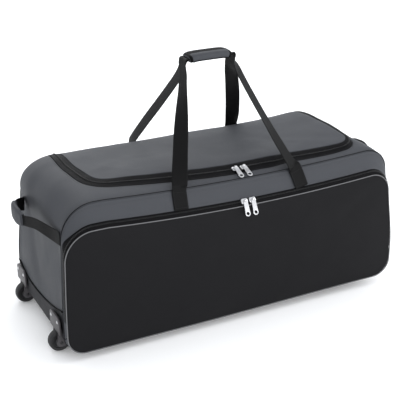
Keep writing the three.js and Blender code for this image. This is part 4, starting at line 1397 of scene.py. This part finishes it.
endForm = {
    "width": 38.0,
    "neck": 29.0,   # width of the strap beside its sleeve
    # y, z and how far the strap stands off the cloth
    "stations": {
        "left": [(-161, 328, -1.3), (-122, 327, 6), (-60, 331, 27), (0, 322, 45), (62, 324, 48),
                 (100, 319, 31), (127, 306, 8), (142, 300, 0.9)],
        "right": [(-159, 342, -1.4), (-122, 342, 9), (-60, 342, 27), (0, 340, 34), (55, 334, 27),
                  (100, 324, 12), (128, 318, 3), (142, 316, -0.6)],
    },
    "gripSpan": {"left": (0.49, 0.78), "right": (0.39, 0.68)},
    "sleeve": {
        "height": 45.2, "depth": 15.0, "rim": 0.62, "rimDepth": 0.8, "taper": 34.0, "band": 0.05,
        "topSpan": (0.02, 0.98), "topSweep": (-118, 62),
    },
    "seat": 1.6,
}


def endReach(end, y, z):
    # How far the end's cloth stands from mid-length
    low, high = (0.0, 2.0) if end < 0 else (3.0, 5.0)
    row = rowAt(y)
    for _ in range(40):
        middle = (low + high) / 2
        above = loopPoint(row, middle).z > z
        if (end < 0) == above:
            high = middle
        else:
            low = middle
    return abs(loopPoint(row, low).x)


def endHandle(end, hand):
    knots = []
    for y, z, slack in endForm["stations"][hand]:
        cloth = max(endReach(end, y, z + edge * endForm["width"] / 2) for edge in (-1, 0, 1))
        knots.append(Vector((end * (cloth + endForm["seat"] + slack), y, z)))
    run = Run(centripetal(knots, 16))
    points = [run.at(share) for share in spread(0, 1, 100)]
    stations = stationsOf(points, [Vector((0, 0, 1))] * len(points))
    start, stop = endForm["gripSpan"][hand]

    def widthAt(share):
        # Drawn in towards the sleeve
        near = share / start if share < start else (1 - share) / (1 - stop)
        return lerp(endForm["width"], endForm["neck"], smoothStep(near))

    label = hand.capitalize()
    strapPiece("endStrap" + label, stations, widthAt, "end_strap_" + hand)
    points = [run.at(share) for share in spread(start, stop, 40)]
    stations = stationsOf(points, [Vector((0, 0, 1))] * len(points))
    sleeve = endForm["sleeve"]
    sleevePiece("endGrip" + label, stations, sleeve, "end_grip_" + hand, 3.0 + end)
    bm = sleeveBinding(stations, sleeve, topped=end > 0)
    closeUp(bm, 1e-7)
    material, slot = (greyCloth, "grey_cloth") if end < 0 else (bindingTape, "webbing")
    addPiece("endGripRim" + label, bm, material, slot)


carryStraps()
carryGrip()
endHandle(-1, "left")
endHandle(1, "right")
print("straps and grips made")


# Zip sliders and pulls

sliderForm = {
    # half length, half width and height of each ring of the body
    "rings": [(8.6, 7.2, 0.4), (9.8, 8.3, 0.9), (10.0, 8.5, 3.6), (9.3, 7.8, 5.2), (7.7, 6.2, 6.0)],
    "bridge": [(-5, 0, 5.0), (-5, 0, 7.9), (-4.3, 0, 9.0), (-3.2, 0, 9.3), (3.2, 0, 9.3), (4.3, 0, 9.0),
               (5, 0, 7.9), (5, 0, 5.0)],
    "bar": 1.15,
    "hinge": 9.3,
}
pullForm = {
    "knuckleRadius": 3.1, "knuckleBore": 1.9, "knuckleHalf": 3.0,
    "thickness": 1.8, "endRadius": 7.4, "hole": 4.2, "holeAt": 34.0,
    "widths": [(6.2, 14.0), (6.0, 31.4)],   # half width and its distance from the hole
    "edge": 0.5,
    "lie": {"lid": 6.0, "pocket": 12.0},
}


def sliderMesh():
    bm = bmesh.new()
    loops = []
    for halfX, halfY, z in sliderForm["rings"]:
        made = bmesh.ops.create_circle(bm, cap_ends=False, segments=32, radius=1.0)
        for vert in made["verts"]:
            c, s = vert.co.x, vert.co.y
            flat = (abs(c) ** 3 + abs(s) ** 3) ** (-1 / 3)
            waist = 1 - 0.16 * math.exp(-(c * flat / 0.45) ** 2)
            vert.co = Vector((c * flat * halfX, s * flat * halfY * waist, z))
        loops.append({edge for vert in made["verts"] for edge in vert.link_edges})
    for lower, upper in zip(loops, loops[1:]):
        bmesh.ops.bridge_loops(bm, edges=list(lower | upper))
    bmesh.ops.holes_fill(bm, edges=[edge for edge in bm.edges if edge.is_boundary], sides=0)
    joinInto(bm, wireMesh(sliderForm["bridge"], sliderForm["bar"]))
    bmesh.ops.recalc_face_normals(bm, faces=bm.faces[:])
    return bm


def wireMesh(points, radius):
    # Bent wire in its own millimetres, swept from a circle
    bm = bmesh.new()
    ring = bmesh.ops.create_circle(bm, cap_ends=True, segments=12, radius=radius)["verts"]
    bmesh.ops.translate(bm, verts=ring, vec=points[0])
    face = ring[0].link_faces[0]
    for before, here, after in zip(points, points[1:], points[2:] + [None]):
        before, here = Vector(before), Vector(here)
        way = (here - before).normalized()
        nextWay = (Vector(after) - here).normalized() if after else way
        made = bmesh.ops.extrude_face_region(bm, geom=[face])
        bmesh.ops.delete(bm, geom=[face], context="FACES_ONLY")
        face = picked(made, bmesh.types.BMFace)[0]
        normal = (way + nextWay).normalized()
        for vert in picked(made, bmesh.types.BMVert):
            moved = vert.co + (here - before)
            vert.co = moved - way * ((moved - here).dot(normal) / way.dot(normal))
    return bm


def pullMesh():
    form = pullForm
    bm = bmesh.new()
    outer = bmesh.ops.create_circle(bm, segments=32, radius=form["endRadius"])["verts"]
    inner = bmesh.ops.create_circle(bm, segments=32, radius=form["hole"])["verts"]
    bmesh.ops.bridge_loops(bm, edges=list({edge for vert in outer + inner for edge in vert.link_edges}))
    edges = [edge for edge in bm.edges
             if edge.is_boundary and all(vert in outer and vert.co.y > 2.5 for vert in edge.verts)]
    for half, y in form["widths"]:
        made = bmesh.ops.extrude_edge_only(bm, edges=edges)
        verts = picked(made, bmesh.types.BMVert)
        edges = picked(made, bmesh.types.BMEdge)
        widest = max(abs(vert.co.x) for vert in verts)
        for vert in verts:
            vert.co = Vector((vert.co.x / widest * half, y, 0))
    bmesh.ops.recalc_face_normals(bm, faces=bm.faces[:])
    bmesh.ops.translate(bm, verts=bm.verts[:], vec=(0, -form["holeAt"], -form["thickness"] / 2))
    made = bmesh.ops.extrude_face_region(bm, geom=bm.faces[:])
    bmesh.ops.translate(bm, verts=picked(made, bmesh.types.BMVert), vec=(0, 0, form["thickness"]))
    bmesh.ops.recalc_face_normals(bm, faces=bm.faces[:])
    rims = [edge for edge in bm.edges if edge.is_manifold and edge.calc_face_angle() > 1.0]
    bmesh.ops.bevel(bm, geom=rims, offset=form["edge"], offset_type="OFFSET", affect="EDGES", segments=3,
                    profile=0.5, material=-1)
    # Knuckle round the slider's bar
    knuckle = bmesh.new()
    radius, bore, half = form["knuckleRadius"], form["knuckleBore"], form["knuckleHalf"]
    slim, short = radius - form["edge"], half - form["edge"]
    profile = [(bore, -half), (slim, -half), (radius, -short), (radius, short), (slim, half), (bore, half)]
    ring = [knuckle.verts.new((x, 0, r)) for r, x in profile]
    edges = [knuckle.edges.new(pair) for pair in zip(ring, ring[1:] + ring[:1])]
    bmesh.ops.spin(knuckle, geom=ring + edges, cent=(0, 0, 0), axis=(1, 0, 0), angle=2 * math.pi, steps=24,
                   use_merge=True)
    bmesh.ops.recalc_face_normals(knuckle, faces=knuckle.faces[:])
    joinInto(bm, knuckle)
    return bm


def hingeFrame(joint, normal):
    # Hinge place and the slider's own directions, from the joint that the tab swings on
    turn = facingTurn(-Vector(joint["axis"]).normalized(), normal)
    return Matrix.Translation(joint["pos_m"]) @ turn @ drawnScale


def zipHardware():
    pocketDrop = pocketSeam.y + bagForm["seamMargin"] - zipEdge.y
    joints = {joint["name"]: joint for joint in frame["joints"]}
    for place, hand in (("lid", "left"), ("lid", "right"), ("pocket", "left"), ("pocket", "right")):
        joint = joints[f"{place}_{hand}_tab_swing"]
        spot = (Vector(joint["pos_m"]) - drawnShift) / mm
        if place == "lid":
            normal = topPoint(spot)[1]
        else:
            drop = topAt(pocketSeam, spot.x) - topAt(zipEdge, spot.x)
            normal = Vector((0, drop, -pocketDrop)).normalized()
        hinge = hingeFrame(joint, normal)
        label = hand.capitalize()
        bm = sliderMesh()
        moveMesh(bm, hinge @ Matrix.Translation((0, 0, -sliderForm["hinge"])))
        addPiece(f"{place}Slider{label}", bm, brightNickel, "nickel", stands=[f"{place}_slider_{hand}"])
        bm = pullMesh()
        moveMesh(bm, hinge @ Matrix.Rotation(math.radians(pullForm["lie"][place]), 4, "X"))
        addPiece(f"{place}Pull{label}", bm, brightNickel, "nickel", body=f"{place}_tab_{hand}",
                 stands=[f"{place}_pull_{hand}"])


# Running gear

def spunMesh(profile, steps=56, closed=True):
    # Turned about the Y axis from (radius, y) points
    bm = bmesh.new()
    ring = [bm.verts.new((0, y, r)) for r, y in profile]
    edges = [bm.edges.new(pair) for pair in zip(ring, ring[1:])]
    if closed:
        edges.append(bm.edges.new((ring[-1], ring[0])))
    bmesh.ops.spin(bm, geom=ring + edges, cent=(0, 0, 0), axis=(0, 1, 0), angle=2 * math.pi, steps=steps,
                   use_merge=True)
    closeUp(bm, 1e-5)
    return bm


def mirrored(half):
    # The far half of a wheel's profile after the near one
    return half + [(r, -y) for r, y in reversed(half)]


gearForm = {
    # radius and place along the axle
    "tyre": mirrored([(19, -10.4), (19.6, -10.8), (24.4, -11.3), (25.6, -11.5), (26.8, -10.6), (27.9, -8.8),
                      (28.7, -6.0), (29, -3.0)]),
    "hub": mirrored([(4.6, -14.5), (7.8, -14.5), (8.5, -14.0), (9.2, -10.0), (10.4, -8.0), (15.6, -8.4),
                     (16.4, -9.2), (18.0, -9.5), (18.4, -9.2)]),
    "axle": mirrored([(0, -20.0), (2.6, -20.0), (3.6, -19.4), (4.0, -18.6)]),
    "rivet": [(0, -2.2), (1.4, -2.1), (2.6, -1.7), (3.5, -1.0), (3.9, -0.6), (4.5, -0.5), (4.5, 0.0),
              (0, 0.0)],
    "housingEdge": 1.1,
    "footEdge": 2.0,
}


def softEdged(name, node, edge):
    # A moulded part: its own solid with rounded edges
    bm = bmesh.new()
    bm.from_mesh(bpy.data.objects[node].data)
    weld(bm)
    bmesh.ops.dissolve_limit(bm, angle_limit=math.radians(3), verts=bm.verts[:], edges=bm.edges[:])
    piece = addPiece(name, bm, housingPlastic, "moulded_plastic", stands=[node])
    rounding = piece.modifiers.new("rounding", "BEVEL")
    rounding.width = edge * mm
    rounding.segments = 2
    rounding.limit_method = "ANGLE"
    rounding.angle_limit = math.radians(40)


def runningGear():
    for name, y in zip(("front", "rear"), wheelForm["y"]):
        centre = Matrix.Translation(toFrame((wheelForm["x"], y, wheelForm["radius"])))
        label = name.capitalize()
        for part, material, slot, body in (
            ("tyre", tyreRubber, "tyre_rubber", "wheel_" + name),
            ("hub", hubPlastic, "hub_plastic", "wheel_" + name),
            ("axle", hubPlastic, "steel", "bag"),
        ):
            bm = spunMesh(gearForm[part], closed=part != "axle")
            moveMesh(bm, centre @ drawnScale)
            addPiece(f"wheel{part.capitalize()}{label}", bm, material, slot, body=body,
                     stands=[f"wheel_{part}_{name}"])
        softEdged("wheelHousing" + label, "wheel_housing_" + name, gearForm["housingEdge"])
        softEdged("restFoot" + label, "rest_foot_" + name, gearForm["footEdge"])
        for hand in ("a", "b"):
            low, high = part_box(f"rivet_{name}_{hand}")
            spot = Vector((high.x, (low.y + high.y) / 2, (low.z + high.z) / 2))
            turn = Matrix.Rotation(math.radians(-90), 4, "Z")
            bm = spunMesh(gearForm["rivet"], 24, closed=False)
            moveMesh(bm, Matrix.Translation(spot) @ turn @ drawnScale)
            addPiece(f"rivet{label}{hand.upper()}", bm, brightSteel, "nickel",
                     stands=[f"rivet_{name}_{hand}"])


zipHardware()
runningGear()
print("zip pulls and running gear made")


# Rows of stitches beside the zips and seams

stitchForm = {
    "tape": (0.1, 0.92),   # rows along the tape, as shares of its width
    "band": 4.32,          # and one beyond it, mm
    "seams": (frontY + 4, frontSeam.y - bagForm["seamMargin"] - 3.5),
    "seamSpan": (0.2, 4.8),   # places round the bag
    "proud": 0.2,
    "count": 420,
}


def seamStitches():
    grey = bmesh.new()
    black = bmesh.new()
    proud = stitchForm["proud"]

    def besideZip(t, beyond):
        for share in spread(0.004, 0.996, stitchForm["count"]):
            offset, lift = tapeAcross(share, t)
            yield topPoint(zipPlan(share, offset + beyond), lift + proud)

    def besideSeam(y):
        low, high = [lengthAt(u) for u in stitchForm["seamSpan"]]
        for length in spread(low, high, stitchForm["count"]):
            yield clothPoint(uAtLength(length), y, proud)

    rows = [(black, besideZip(t, 0)) for t in stitchForm["tape"]]
    rows.append((grey, besideZip(1.0, stitchForm["band"])))
    rows += [(grey, besideSeam(y)) for y in stitchForm["seams"]]
    for bm, places in rows:
        points, normals = zip(*places)
        stitchRow(bm, points, normals)
    addPiece("clothStitches", grey, greyThread, "grey_cloth")
    addPiece("tapeStitches", black, blackThread, "zip_tape")


seamStitches()
print("stitches sewn")
